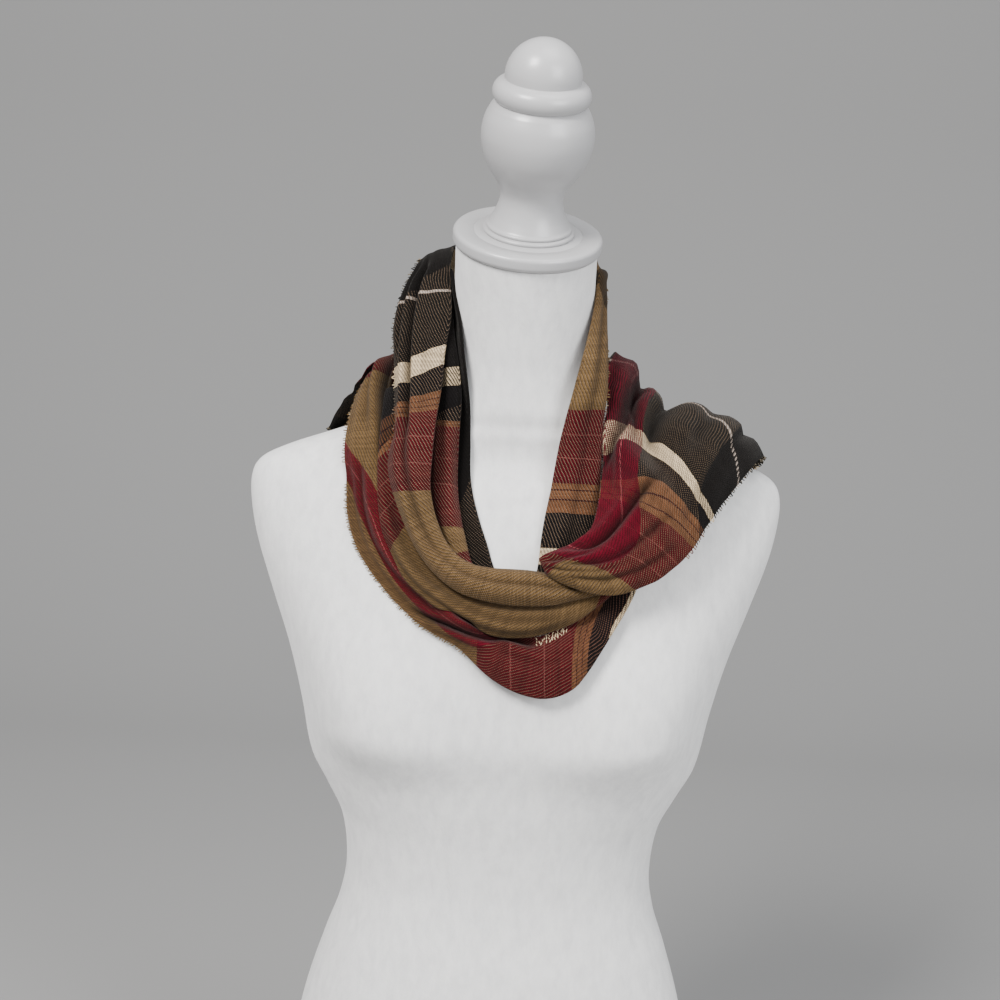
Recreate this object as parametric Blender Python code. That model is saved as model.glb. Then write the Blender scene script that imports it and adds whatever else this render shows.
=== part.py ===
"""Plaid infinity scarf wound twice round the neck of a limbless dress form.

Metres, +Z up, the front faces -Y. The origin is the centre of the stand's underside.
"""

import math

import bmesh
import bpy
from mathutils import Euler, Vector
from mathutils.bvhtree import BVHTree

for leftover in list(bpy.data.objects):
    bpy.data.objects.remove(leftover)

MM = 0.001


def paint(name, colour, roughness):
    """A Principled material of one colour."""
    material = bpy.data.materials.new(name)
    material.use_nodes = True
    shader = material.node_tree.nodes["Principled BSDF"]
    shader.inputs["Base Color"].default_value = (*colour, 1.0)
    shader.inputs["Roughness"].default_value = roughness
    shader.inputs["Metallic"].default_value = 0.0
    return material


WHITE_JERSEY = paint("white_jersey", (0.80, 0.80, 0.79), 0.85)
WHITE_PAINT = paint("white_paint", (0.82, 0.82, 0.80), 0.35)


def add_object(name, mesh, material):
    """Links a mesh as a named object, smooth but for its sharp edges."""
    mesh.materials.append(material)
    mesh.shade_smooth()
    mesh.set_sharp_from_angle(angle=math.radians(40))
    made = bpy.data.objects.new(name, mesh)
    bpy.context.scene.collection.objects.link(made)
    return made


def read_at(table, columns, where):
    """Every column of a table at one value of its first column, on a smooth curve through the rows."""
    keys = [row[0] for row in table]
    place = min(max(where, keys[0]), keys[-1])
    after = next(i for i in range(1, len(keys)) if place <= keys[i])
    low, high = table[after - 1], table[after]
    before = table[max(after - 2, 0)]
    beyond = table[min(after + 1, len(table) - 1)]
    span = high[0] - low[0]
    t = (place - low[0]) / span
    values = {}
    for c, column in enumerate(columns):
        start_slope = (high[c] - before[c]) / max(high[0] - before[0], 1e-9)
        end_slope = (beyond[c] - low[c]) / max(beyond[0] - low[0], 1e-9)
        values[column] = (
            (2 * t**3 - 3 * t**2 + 1) * low[c]
            + (t**3 - 2 * t**2 + t) * span * start_slope
            + (3 * t**2 - 2 * t**3) * high[c]
            + (t**3 - t**2) * span * end_slope
        )
    return values


# The torso is foam under white jersey: one ring of points at each height, hips to neck.
TORSO_COLUMNS = ("height", "set_back", "tilt", "half_width", "front", "back", "squareness")
TORSO = (
    (150, 0, 0, 132, 88, 94, 2.0),
    (153, 0, 0, 146, 98, 106, 2.0),
    (162, 0, 0, 157, 106, 116, 2.0),
    (185, 0, 0, 166, 111, 122, 2.05),
    (215, 0, 0, 168, 110, 122, 2.1),
    (260, 0, 0, 160, 103, 114, 2.1),
    (310, 0, 0, 145, 95, 98, 2.1),
    (345, 0, 0, 133, 89, 88, 2.1),
    (378, 0, 0, 128, 86, 82, 2.1),
    (420, 0, 0, 133, 90, 83, 2.1),
    (450, 0, 0, 147, 95, 87, 2.15),
    (475, 0, 0, 160, 97, 91, 2.15),
    (520, 0, 0, 169, 98, 95, 2.2),
    (565, 0, 0, 180, 97, 99, 2.3),
    (610, 0, 0, 195, 90, 100, 2.35),
    (650, 0, 0, 208, 80, 97, 2.35),
    (680, 0, 0, 214, 70, 90, 2.3),
    (703, 0, 0, 214, 60, 82, 2.25),
    (716, 0, 0, 206, 53, 77, 2.2),
    (727, 0, 0, 184, 49, 73, 2.15),
    (738, 0, 1, 152, 49, 71, 2.1),
    (749, 0, 3, 120, 51, 68, 2.05),
    (760, 2, 5, 94, 54, 64, 2.0),
    (772, 2, 7, 77, 57, 61, 2.0),
    (790, 0, 10, 65, 57, 57, 2.0),
    (815, -6, 14, 58, 55, 55, 2.0),
    (850, -16, 18, 55.5, 54.5, 54.5, 2.0),
    (894, -30, 20.5, 55, 54.5, 54.5, 2.0),
)
TORSO_AROUND = 42
CAP_LEAN = math.radians(20.5)
CAP_SIDE_LEAN = math.radians(3)
BUST_HEIGHT = 537
BUST_TURN = math.radians(31)
BUST_SWELL = 30
BUST_SPREAD_TURN = math.radians(24)
BUST_SPREAD_UP = 72
BUST_SPREAD_DOWN = 44


def bust_swell(turn, height):
    """How far the bust stands out of the plain section, at a turn from the front."""
    spread = BUST_SPREAD_UP if height > BUST_HEIGHT else BUST_SPREAD_DOWN
    rise = math.exp(-(((height - BUST_HEIGHT) / spread) ** 2))
    mounds = sum(math.exp(-(((turn - side * BUST_TURN) / BUST_SPREAD_TURN) ** 2)) for side in (-1, 1))
    return BUST_SWELL * rise * mounds


def torso_ring(height):
    """The points of the torso's section at one height, in metres."""
    row = read_at(TORSO, TORSO_COLUMNS, height)
    power = 2.0 / row["squareness"]
    tilt = math.radians(row["tilt"])
    lean = Euler((tilt, tilt * CAP_SIDE_LEAN / CAP_LEAN, 0.0)).to_matrix()
    ring = []
    for step in range(TORSO_AROUND):
        turn = 2 * math.pi * step / TORSO_AROUND
        across, ahead = math.sin(turn), math.cos(turn)
        depth = row["front"] if ahead > 0 else row["back"]
        swell = bust_swell((turn + math.pi) % (2 * math.pi) - math.pi, height)
        x = (row["half_width"]) * math.copysign(abs(across) ** power, across) + swell * across
        y = -depth * math.copysign(abs(ahead) ** power, ahead) - swell * ahead
        centre = Vector((0.0, row["set_back"], height))
        ring.append((centre + lean @ Vector((x, y, 0.0))) * MM)
    return ring


def closed_loft(name, rings, material):
    """A closed solid through rings of points, with a flat face at each end."""
    mesh = bmesh.new()
    loops = []
    for ring in rings:
        verts = [mesh.verts.new(point) for point in ring]
        loops.append([mesh.edges.new((verts[i - 1], verts[i])) for i in range(len(verts))])
    for lower, upper in zip(loops, loops[1:]):
        bmesh.ops.bridge_loops(mesh, edges=lower + upper)
    for end in (loops[0], loops[-1]):
        bmesh.ops.contextual_create(mesh, geom=end)
    bmesh.ops.recalc_face_normals(mesh, faces=mesh.faces)
    data = bpy.data.meshes.new(name)
    mesh.to_mesh(data)
    mesh.free()
    return add_object(name, data, material)


TORSO_STEPS = (
    150, 153, 162, 176, 195, 215, 237, 260, 285, 310, 333, 356, 378, 400, 425, 448,
    470, 488, 505, 520, 537, 555, 575, 597, 622, 648, 672, 690, 703, 711, 718, 725,
    732, 738, 744, 750, 756, 764, 774, 788, 805, 828, 858, 894,
)
torso = closed_loft("form_torso", [torso_ring(height) for height in TORSO_STEPS], WHITE_JERSEY)


# The turned pieces are white painted wood: a neck cap with its finial, a post and a base.
TURNED_AROUND = 28


def turned(name, profile, material, foot=(0.0, 0.0, 0.0), lean=(0.0, 0.0, 0.0)):
    """A solid turned from (radius, height) rows in millimetres, stood at foot and leaned in radians."""
    mesh = bmesh.new()
    verts = [mesh.verts.new((radius * MM, 0.0, height * MM)) for radius, height in profile]
    edges = [mesh.edges.new(pair) for pair in zip(verts, verts[1:])]
    bmesh.ops.spin(
        mesh,
        geom=verts + edges,
        angle=2 * math.pi,
        steps=TURNED_AROUND,
        axis=(0, 0, 1),
        cent=(0, 0, 0),
    )
    bmesh.ops.remove_doubles(mesh, verts=mesh.verts, dist=0.01 * MM)
    bmesh.ops.recalc_face_normals(mesh, faces=mesh.faces)
    data = bpy.data.meshes.new(name)
    mesh.to_mesh(data)
    mesh.free()
    made = add_object(name, data, material)
    made.location = foot
    made.rotation_euler = lean
    return made


def arc(centre, radius, start, end, steps):
    """(radius, height) points along an arc, with angles in degrees from the radial direction."""
    points = []
    for step in range(steps + 1):
        angle = math.radians(start + (end - start) * step / steps)
        points.append((centre[0] + radius * math.cos(angle), centre[1] + radius * math.sin(angle)))
    return points


CAP_RADIUS = 58
CAP_THICK = 12
CAP_GAP = 0.3
NECK_TOP = Vector((0.0, TORSO[-1][1], TORSO[-1][0])) * MM
CAP_PROFILE = (
    [(0, 0), (CAP_RADIUS - 4, 0)]
    + arc((CAP_RADIUS - 4.5, 4.5), 4.5, -75, 0, 3)
    + arc((CAP_RADIUS - 3.5, CAP_THICK - 3.5), 3.5, 0, 90, 3)
    + [(36.5, CAP_THICK)]
    + arc((33.9, CAP_THICK + 1.8), 1.6, -60, 70, 3)
    + arc((31.7, CAP_THICK + 5.2), 1.6, -60, 70, 3)
    + [(31.2, CAP_THICK + 7.8), (29.4, CAP_THICK + 11), (27.4, CAP_THICK + 15), (25.4, CAP_THICK + 20.5)]
    + [(24.2, CAP_THICK + 26.5), (24.8, CAP_THICK + 33), (28.5, CAP_THICK + 40.5)]
    + [(34.6, CAP_THICK + 49.5), (39.6, CAP_THICK + 60), (42.1, CAP_THICK + 70), (42.6, CAP_THICK + 79)]
    + [(40.8, CAP_THICK + 89), (36.8, CAP_THICK + 97.5)]
    + arc((27.5, CAP_THICK + 108), 9.4, -52, 75, 7)
    + [(28.6, CAP_THICK + 117.8)]
    + arc((0, CAP_THICK + 119.8), 28.8, 4, 90, 8)
)
cap_turn = Euler((CAP_LEAN, CAP_SIDE_LEAN, 0.0))
cap_foot = NECK_TOP + cap_turn.to_matrix() @ Vector((0.0, 0.0, CAP_GAP * MM))
turned("form_cap_finial", CAP_PROFILE, WHITE_PAINT, cap_foot, cap_turn)

BASE_RADIUS = 150
BASE_THICK = 20
POST_TOP = 149.7
BASE_PROFILE = (
    [(0, 0), (BASE_RADIUS - 2, 0), (BASE_RADIUS, 2), (BASE_RADIUS, 10)]
    + arc((BASE_RADIUS - 8, 10), 8, 15, 90, 4)
    + [(BASE_RADIUS - 14, BASE_THICK), (0, BASE_THICK)]
)
POST_PROFILE = [
    (0, BASE_THICK + 0.3),
    (44, BASE_THICK + 0.3),
    (45, BASE_THICK + 6),
    (38, BASE_THICK + 12),
    (27, BASE_THICK + 18),
    (22, BASE_THICK + 30),
    (24, BASE_THICK + 55),
    (28, BASE_THICK + 72),
    (24, BASE_THICK + 88),
    (21, BASE_THICK + 104),
    (27, POST_TOP - 14),
    (38, POST_TOP - 8),
    (40, POST_TOP),
    (0, POST_TOP),
]
turned("stand_base", BASE_PROFILE, WHITE_PAINT)
turned("stand_post", POST_PROFILE, WHITE_PAINT)


# The scarf is one woven loop wound twice. Each stretch that shows is a wall of cloth lofted through
# rows: the edge by the neck, the edge away from it, and how far the middle stands out, in millimetres.
WALL = 1.5
SEAM_GAP = 0.4
FORM_CLEARANCE = WALL / 2 + 0.4
LAYER_CLEARANCE = WALL + 0.6
STEP_ALONG = 12
ROW_COLUMNS = ("inner_x", "inner_y", "inner_z", "outer_x", "outer_y", "outer_z", "crown")

RIGHT_FALL = (
    (2, -92, 627, 8, -95, 617, 0),
    (13, -90, 634, 29, -94, 627, 1),
    (20, -87, 647, 45, -88, 643, 2),
    (22, -81, 665, 57, -82, 662, 3),
    (24, -74, 686, 62, -73, 684, 4),
    (28, -66, 709, 66, -66, 709, 5),
    (32, -62, 736, 67, -60, 735, 6),
    (37, -62, 764, 67, -56, 765, 6),
    (43, -62, 792, 68, -48, 791, 6),
    (49, -54, 817, 67, -36, 816, 5),
    (54, -42, 840, 66, -22, 838, 4),
    (57, -26, 862, 66, -6, 860, 3),
)
BACK_HIGH = (
    (58, -6, 880, 68, 14, 874, 3),
    (53, 12, 888, 74, 40, 858, 4),
    (40, 28, 889, 66, 70, 832, 6),
    (20, 38, 888, 38, 96, 796, 8),
    (0, 41, 887, 2, 104, 782, 8),
    (-20, 38, 888, -36, 96, 794, 8),
    (-42, 28, 890, -68, 70, 832, 6),
    (-56, 14, 891, -80, 44, 864, 4),
)
LEFT_FALL = (
    (-59, -2, 888, -85, 22, 878, 3),
    (-59, -20, 877, -87, 2, 875, 3),
    (-58, -34, 858, -96, -10, 855, 5),
    (-57, -46, 838, -102, -21, 833, 6),
    (-60, -58, 813, -102, -34, 808, 7),
    (-61, -68, 787, -99, -46, 778, 8),
    (-64, -77, 761, -97, -58, 750, 8),
    (-65, -86, 736, -99, -72, 727, 8),
    (-65, -93, 710, -91, -86, 702, 8),
    (-58, -96, 684, -77, -94, 671, 7),
    (-46, -103, 665, -57, -105, 648, 7),
    (-28, -107, 655, -37, -112, 636, 8),
    (-9, -107, 654, -11, -114, 630, 9),
    (12, -106, 654, 13, -114, 629, 9),
    (33, -105, 651, 35, -112, 631, 8),
    (54, -101, 647, 56, -107, 636, 6),
    (72, -95, 648, 75, -101, 640, 3),
)
FRONT_ROLL_LOWER = (
    (-90, -50, 753, -107, -43, 749, 2),
    (-90, -59, 727, -107, -58, 719, 3),
    (-85, -72, 698, -104, -73, 691, 4),
    (-73, -86, 671, -96, -84, 663, 5),
    (-56, -93, 650, -82, -94, 641, 6),
    (-35, -98, 638, -59, -103, 624, 7),
    (-14, -101, 631, -32, -108, 609, 8),
    (7, -102, 630, -6, -112, 602, 8),
    (29, -101, 632, 23, -111, 605, 7),
    (49, -99, 636, 46, -107, 614, 5),
    (66, -95, 641, 65, -102, 626, 3),
    (80, -88, 647, 80, -93, 636, 1),
)
RIGHT_FLARE = (
    (20, -109, 664, 26, -114, 653, 4),
    (32, -108, 671, 48, -117, 645, 7),
    (46, -103, 676, 71, -116, 641, 9),
    (59, -94, 686, 94, -112, 644, 10),
    (65, -80, 706, 115, -106, 653, 12),
    (67, -64, 733, 134, -99, 670, 14),
    (69, -50, 764, 146, -92, 688, 14),
    (70, -34, 789, 159, -82, 706, 14),
    (73, -14, 808, 174, -66, 722, 13),
)
BACK_LOW = (
    (76, 10, 813, 190, -44, 736, 14),
    (76, 34, 808, 200, -10, 735, 12),
    (66, 54, 802, 196, 34, 716, 9),
    (42, 68, 799, 160, 78, 688, 8),
    (12, 74, 798, 96, 106, 664, 10),
    (-22, 74, 798, 22, 116, 652, 10),
    (-54, 66, 800, -52, 114, 662, 9),
    (-80, 48, 803, -102, 94, 696, 8),
)
LEFT_OUTER = (
    (-95, 26, 806, -120, 54, 756, 5),
    (-103, 6, 802, -126, 18, 778, 4),
    (-103, -14, 783, -131, -4, 768, 4),
    (-99, -32, 758, -134, -21, 753, 5),
    (-97, -46, 736, -135, -38, 733, 5),
    (-94, -58, 712, -133, -50, 709, 5),
    (-89, -70, 690, -133, -59, 684, 5),
    (-81, -80, 667, -124, -69, 659, 4),
    (-67, -87, 649, -108, -80, 637, 4),
    (-49, -93, 634, -88, -91, 618, 4),
    (-32, -98, 622, -64, -104, 602, 4),
    (-15, -101, 610, -35, -110, 588, 5),
    (-1, -103, 605, -13, -116, 573, 5),
    (15, -104, 604, 8, -119, 563, 6),
    (30, -103, 608, 30, -121, 560, 6),
    (43, -100, 616, 50, -121, 568, 6),
    (54, -97, 623, 65, -115, 587, 5),
    (61, -94, 631, 78, -108, 609, 4),
    (68, -91, 640, 90, -99, 629, 3),
    (76, -87, 652, 98, -92, 648, 2),
)
INNER_LEFT = (
    (-58, -16, 873, -66, -6, 874, 0),
    (-56, -30, 850, -66, -18, 851, 1),
    (-53, -42, 828, -66, -29, 827, 2),
    (-49, -53, 804, -67, -39, 802, 3),
    (-46, -60, 776, -69, -47, 773, 3),
    (-46, -62, 744, -70, -56, 744, 3),
    (-45, -67, 714, -70, -66, 715, 3),
    (-42, -78, 689, -66, -76, 688, 3),
    (-36, -86, 668, -55, -86, 664, 2),
    (-30, -91, 652, -43, -92, 648, 2),
    (-17, -93, 640, -28, -96, 634, 1),
    (-5, -94, 634, -9, -97, 626, 0),
)
NECK_LEFT = (
    (-54, -24, 873, -61, -12, 874, 0),
    (-52, -38, 848, -60, -24, 849, 0),
    (-48, -50, 820, -58, -34, 819, 1),
    (-43, -55, 792, -58, -41, 790, 1),
    (-40, -54, 770, -57, -45, 770, 1),
    (-38, -54, 744, -57, -52, 743, 1),
    (-36, -60, 713, -56, -60, 713, 1),
    (-29, -71, 688, -51, -72, 688, 1),
    (-21, -79, 667, -41, -80, 664, 1),
    (-14, -85, 649, -27, -87, 643, 1),
    (-6, -89, 638, -14, -92, 631, 0),
)
LEFT_TIP = (
    (-106, 86, 756, -114, 98, 722, 1),
    (-112, 66, 776, -132, 74, 720, 2),
    (-116, 44, 791, -148, 48, 728, 2),
    (-119, 28, 795, -155, 26, 735, 2),
    (-123, 16, 791, -155, 8, 739, 2),
)

# The largest folds: lengthwise troughs, each at a place across the wall and over part of its run.
FOLD_COLUMNS = ("across", "depth", "width", "starts", "ends")
FOLDS = {
    "right_fall": ((0.62, 2.0, 0.12, 0.15, 0.95),),
    "back_wrap_high": ((0.35, 5.0, 0.1, -0.1, 0.8), (0.7, 4.0, 0.1, 0.25, 1.1)),
    "left_fall": ((0.46, 5.0, 0.1, 0.02, 0.4), (0.72, 2.5, 0.08, 0.3, 0.75)),
    "front_roll_lower": ((0.6, 2.0, 0.12, 0.3, 0.9),),
    "right_flare": ((0.3, 4.0, 0.08, -0.1, 0.5), (0.62, 4.0, 0.09, -0.1, 0.6), (0.45, 5.0, 0.08, 0.55, 1.2)),
    "back_wrap_low": ((0.25, 7.0, 0.07, -0.2, 0.9), (0.55, 7.0, 0.08, 0.05, 1.2), (0.82, 4.0, 0.06, 0.2, 0.8)),
    "left_outer": ((0.4, 3.0, 0.1, 0.0, 0.35), (0.5, 2.5, 0.1, 0.5, 0.95)),
}


def smooth_step(value):
    value = min(max(value, 0.0), 1.0)
    return value * value * (3 - 2 * value)


def fold_depth(name, along, across):
    """How far the named stretch's folds sink the cloth, at shares along its run and across it."""
    depth = 0.0
    for row in FOLDS.get(name, ()):
        fold = dict(zip(FOLD_COLUMNS, row))
        fade = smooth_step((along - fold["starts"]) / 0.15) * smooth_step((fold["ends"] - along) / 0.15)
        depth += fold["depth"] * fade * math.exp(-(((across - fold["across"]) / fold["width"]) ** 2))
    return depth


class Sheet:
    """A grid of points on the middle of the cloth, rows along the run and columns across it."""

    def __init__(self, stretches, columns):
        rows = []
        owners = []
        for name, table in stretches:
            owners += [(name, place / max(len(table) - 1, 1)) for place in range(len(table))]
            rows += table
        middles = [Vector(row[0:3]).lerp(Vector(row[3:6]), 0.5) for row in rows]
        run = [0.0]
        for low, high in zip(middles, middles[1:]):
            run.append(run[-1] + (high - low).length)
        keyed = [(run[i], *rows[i]) for i in range(len(rows))]
        count = round(run[-1] / STEP_ALONG)
        self.columns = columns
        self.names = [name for name, table in stretches]
        self.places = []
        self.grid = []
        starts = {}
        ends = {}
        for distance, (name, share) in zip(run, owners):
            starts.setdefault(name, distance)
            ends[name] = distance
        for step in range(count + 1):
            distance = run[-1] * step / count
            owner = next((n for n in self.names if distance <= ends[n]), self.names[-1])
            span = max(ends[owner] - starts[owner], 1.0)
            self.places.append((owner, (distance - starts[owner]) / span))
            self.grid.append(read_at(keyed, ("run", *ROW_COLUMNS), distance))
        self.grid = [self.section(row, place) for row, place in zip(self.grid, self.places)]
        self.add_relief()

    def section(self, row, place):
        inner = Vector((row["inner_x"], row["inner_y"], row["inner_z"]))
        outer = Vector((row["outer_x"], row["outer_y"], row["outer_z"]))
        self.crowns = getattr(self, "crowns", []) + [row["crown"]]
        return [inner.lerp(outer, c / (self.columns - 1)) for c in range(self.columns)]

    def outward(self, r, c):
        """The direction out of the cloth's face at one grid point."""
        along = self.grid[min(r + 1, len(self.grid) - 1)][c] - self.grid[max(r - 1, 0)][c]
        over = self.grid[r][min(c + 1, self.columns - 1)] - self.grid[r][max(c - 1, 0)]
        return over.cross(along).normalized()

    def add_relief(self):
        """Lifts the middle by the crown and sinks the folds."""
        out = [[self.outward(r, c) for c in range(self.columns)] for r in range(len(self.grid))]
        for r, (name, along) in enumerate(self.places):
            for c in range(self.columns):
                across = c / (self.columns - 1)
                lift = self.crowns[r] * (1 - abs(2 * across - 1) ** 2.2) - fold_depth(name, along, across)
                self.grid[r][c] = self.grid[r][c] + out[r][c] * lift

    def rows_of(self, name):
        """First and last grid row of a stretch; neighbours share the row at their seam."""
        own = [r for r, (owner, along) in enumerate(self.places) if owner == name]
        first = own[0] - 1 if own[0] > 0 else 0
        return first, own[-1]

    def tree(self, name):
        """A search tree over one stretch, with its faces turned outward."""
        first, last = self.rows_of(name)
        points = [point for row in self.grid[first : last + 1] for point in row]
        w = self.columns
        faces = [
            (r * w + c, r * w + c + 1, (r + 1) * w + c + 1, (r + 1) * w + c)
            for r in range(last - first)
            for c in range(w - 1)
        ]
        return BVHTree.FromPolygons(points, faces)

    def rest(self, name, form, layers):
        """Moves one stretch clear of the form and of the layers of cloth beneath it."""
        first, last = self.rows_of(name)
        trees = [sheet.tree(layer) for sheet, layer in layers]
        for turn in range(6):
            moves = {}
            for r in range(first, last + 1):
                for c in range(self.columns):
                    point = self.grid[r][c]
                    move = Vector()
                    spot, facing, index, distance = form.find_nearest(point)
                    height = (point - spot).dot(facing)
                    if height < FORM_CLEARANCE:
                        move = facing * (FORM_CLEARANCE - height)
                    for tree in trees:
                        spot, facing, index, distance = tree.find_nearest(point)
                        height = (point - spot).dot(facing)
                        aside = math.sqrt(max(distance**2 - height**2, 0.0))
                        reach = LAYER_CLEARANCE - aside * 0.6
                        if height < reach and distance < 40:
                            push = facing * (reach - height)
                            if push.length > move.length:
                                move = push
                    moves[r, c] = move
            for (r, c), move in moves.items():
                near = [moves[n] for n in ((r - 1, c), (r + 1, c), (r, c - 1), (r, c + 1)) if n in moves]
                spread = sum(near, Vector()) / max(len(near), 1)
                self.grid[r][c] = self.grid[r][c] + (move if move.length > spread.length else spread)

    def build(self, name, material):
        """Gives one stretch its thickness and makes it a solid, cut short of its seams."""
        first, last = self.rows_of(name)
        half = WALL / 2
        front, back = [], []
        for r in range(first, last + 1):
            for c in range(self.columns):
                out = self.outward(r, c) * half
                point = self.grid[r][c].copy()
                if r == first and r > 0:
                    point += (self.grid[r + 1][c] - point).normalized() * SEAM_GAP / 2
                if r == last and r < len(self.grid) - 1:
                    point += (self.grid[r - 1][c] - point).normalized() * SEAM_GAP / 2
                front.append((point + out) * MM)
                back.append((point - out) * MM)
        w = self.columns
        rows = last - first + 1
        count = rows * w
        faces = []
        for r in range(rows - 1):
            for c in range(w - 1):
                a, b, d, e = r * w + c, r * w + c + 1, (r + 1) * w + c + 1, (r + 1) * w + c
                faces.append((a, b, d, e))
                faces.append((count + e, count + d, count + b, count + a))
        rim = [c for c in range(w)]
        rim += [r * w + w - 1 for r in range(1, rows)]
        rim += [(rows - 1) * w + c for c in range(w - 2, -1, -1)]
        rim += [r * w for r in range(rows - 2, 0, -1)]
        for a, b in zip(rim, rim[1:] + rim[:1]):
            faces.append((b, a, count + a, count + b))
        data = bpy.data.meshes.new(name)
        data.from_pydata(front + back, [], faces)
        data.update()
        return add_object(name, data, material)


form_points = [vertex.co / MM for vertex in torso.data.vertices]
form_faces = [tuple(face.vertices) for face in torso.data.polygons]
form_tree = BVHTree.FromPolygons(form_points, form_faces)

upper_pass = Sheet(
    (("right_fall", RIGHT_FALL), ("back_wrap_high", BACK_HIGH), ("left_fall", LEFT_FALL)), 9
)
lower_pass = Sheet(
    (("right_flare", RIGHT_FLARE), ("back_wrap_low", BACK_LOW), ("left_outer", LEFT_OUTER)), 11
)
front_roll = Sheet((("front_roll_lower", FRONT_ROLL_LOWER),), 8)
inner_left = Sheet((("inner_left", INNER_LEFT),), 6)
neck_left = Sheet((("neck_left_dark", NECK_LEFT),), 6)
left_tip = Sheet((("left_tip", LEFT_TIP),), 5)

L4 = (neck_left, "neck_left_dark")
L3 = (inner_left, "inner_left")
RESTING_ORDER = (
    (neck_left, "neck_left_dark", ()),
    (inner_left, "inner_left", (L4,)),
    (upper_pass, "right_fall", (L4, L3)),
    (lower_pass, "back_wrap_low", ()),
    (upper_pass, "back_wrap_high", ((lower_pass, "back_wrap_low"),)),
    (lower_pass, "left_outer", (L4, L3, (upper_pass, "right_fall"))),
    (left_tip, "left_tip", ((lower_pass, "back_wrap_low"), (lower_pass, "left_outer"))),
    (front_roll, "front_roll_lower", (L4, L3, (lower_pass, "left_outer"), (upper_pass, "right_fall"))),
    (upper_pass, "left_fall", (L4, L3, (lower_pass, "left_outer"), (front_roll, "front_roll_lower"))),
    (lower_pass, "right_flare", ((upper_pass, "right_fall"), (upper_pass, "left_fall"), (front_roll, "front_roll_lower"))),
)
for sheet, name, layers in RESTING_ORDER:
    sheet.rest(name, form_tree, layers)

CLOTH = {
    "right_fall": paint("cloth_right_fall", (0.30, 0.12, 0.08), 0.9),
    "back_wrap_high": paint("cloth_back_wrap_high", (0.16, 0.12, 0.08), 0.9),
    "left_fall": paint("cloth_left_fall", (0.33, 0.2, 0.1), 0.9),
    "right_flare": paint("cloth_right_flare", (0.28, 0.05, 0.06), 0.9),
    "back_wrap_low": paint("cloth_back_wrap_low", (0.25, 0.15, 0.09), 0.9),
    "left_outer": paint("cloth_left_outer", (0.3, 0.16, 0.09), 0.9),
    "front_roll_lower": paint("cloth_front_roll_lower", (0.36, 0.24, 0.12), 0.9),
    "inner_left": paint("cloth_inner_left", (0.24, 0.06, 0.06), 0.9),
    "neck_left_dark": paint("cloth_neck_left_dark", (0.05, 0.04, 0.04), 0.9),
    "left_tip": paint("cloth_left_tip", (0.07, 0.06, 0.04), 0.9),
}
for sheet, name, layers in RESTING_ORDER:
    sheet.build(name, CLOTH[name])
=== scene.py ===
"""A plaid infinity scarf wound twice round the neck of a white dress form, dressed over its solids."""
import math

import bmesh
import bpy
from mathutils import Euler, Matrix, Vector, noise
from mathutils.bvhtree import BVHTree


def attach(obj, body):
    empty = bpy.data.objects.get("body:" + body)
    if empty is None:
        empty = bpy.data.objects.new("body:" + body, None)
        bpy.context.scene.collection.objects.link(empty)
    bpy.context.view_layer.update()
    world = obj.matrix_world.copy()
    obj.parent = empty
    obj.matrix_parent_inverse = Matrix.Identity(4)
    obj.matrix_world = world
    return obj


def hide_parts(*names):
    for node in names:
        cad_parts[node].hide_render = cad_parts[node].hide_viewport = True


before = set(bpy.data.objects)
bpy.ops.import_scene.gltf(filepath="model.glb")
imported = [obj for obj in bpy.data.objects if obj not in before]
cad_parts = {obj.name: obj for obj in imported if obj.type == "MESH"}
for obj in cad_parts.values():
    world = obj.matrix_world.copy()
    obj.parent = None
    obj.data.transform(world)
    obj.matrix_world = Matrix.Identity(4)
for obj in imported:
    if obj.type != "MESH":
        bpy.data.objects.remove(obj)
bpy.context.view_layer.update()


# The studio: one pale sheet of paper that lies on the floor and sweeps up behind the form. A large
# soft lamp stands high at the front left, a weaker one at the right, and the walls give a little fill.
SWEEP_HALF_WIDTH = 4.0
SWEEP_FRONT = -3.0
SWEEP_BACK = 2.6
SWEEP_TOP = 4.0
SWEEP_RADIUS = 1.2
SWEEP_STEPS = 24
SWEEP_BELOW = 0.0002
PAPER_GREY = (0.31, 0.307, 0.301)
WALL_COLOUR = (0.93, 0.95, 1.0, 1.0)
WALL_LIGHT = 0.62


def set_inputs(node, inputs):
    """Gives a node's inputs their values, or joins them to the outputs that feed them."""
    for socket, value in inputs.items():
        if isinstance(value, bpy.types.NodeSocket):
            node.id_data.links.new(value, node.inputs[socket])
        else:
            node.inputs[socket].default_value = value


def new_material(name, colour, roughness, finish=None):
    """A material, its node tree and its Principled shader with that colour and finish."""
    material = bpy.data.materials.new(name)
    material.use_nodes = True
    shader = material.node_tree.nodes["Principled BSDF"]
    set_inputs(shader, {"Base Color": (*colour, 1.0), "Roughness": roughness, **(finish or {})})
    return material, material.node_tree, shader


def add_piece(name, mesh, material):
    """Puts a smooth mesh in the scene under its own name."""
    mesh.materials.append(material)
    mesh.shade_smooth()
    piece = bpy.data.objects.new(name, mesh)
    bpy.context.scene.collection.objects.link(piece)
    return piece


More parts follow.
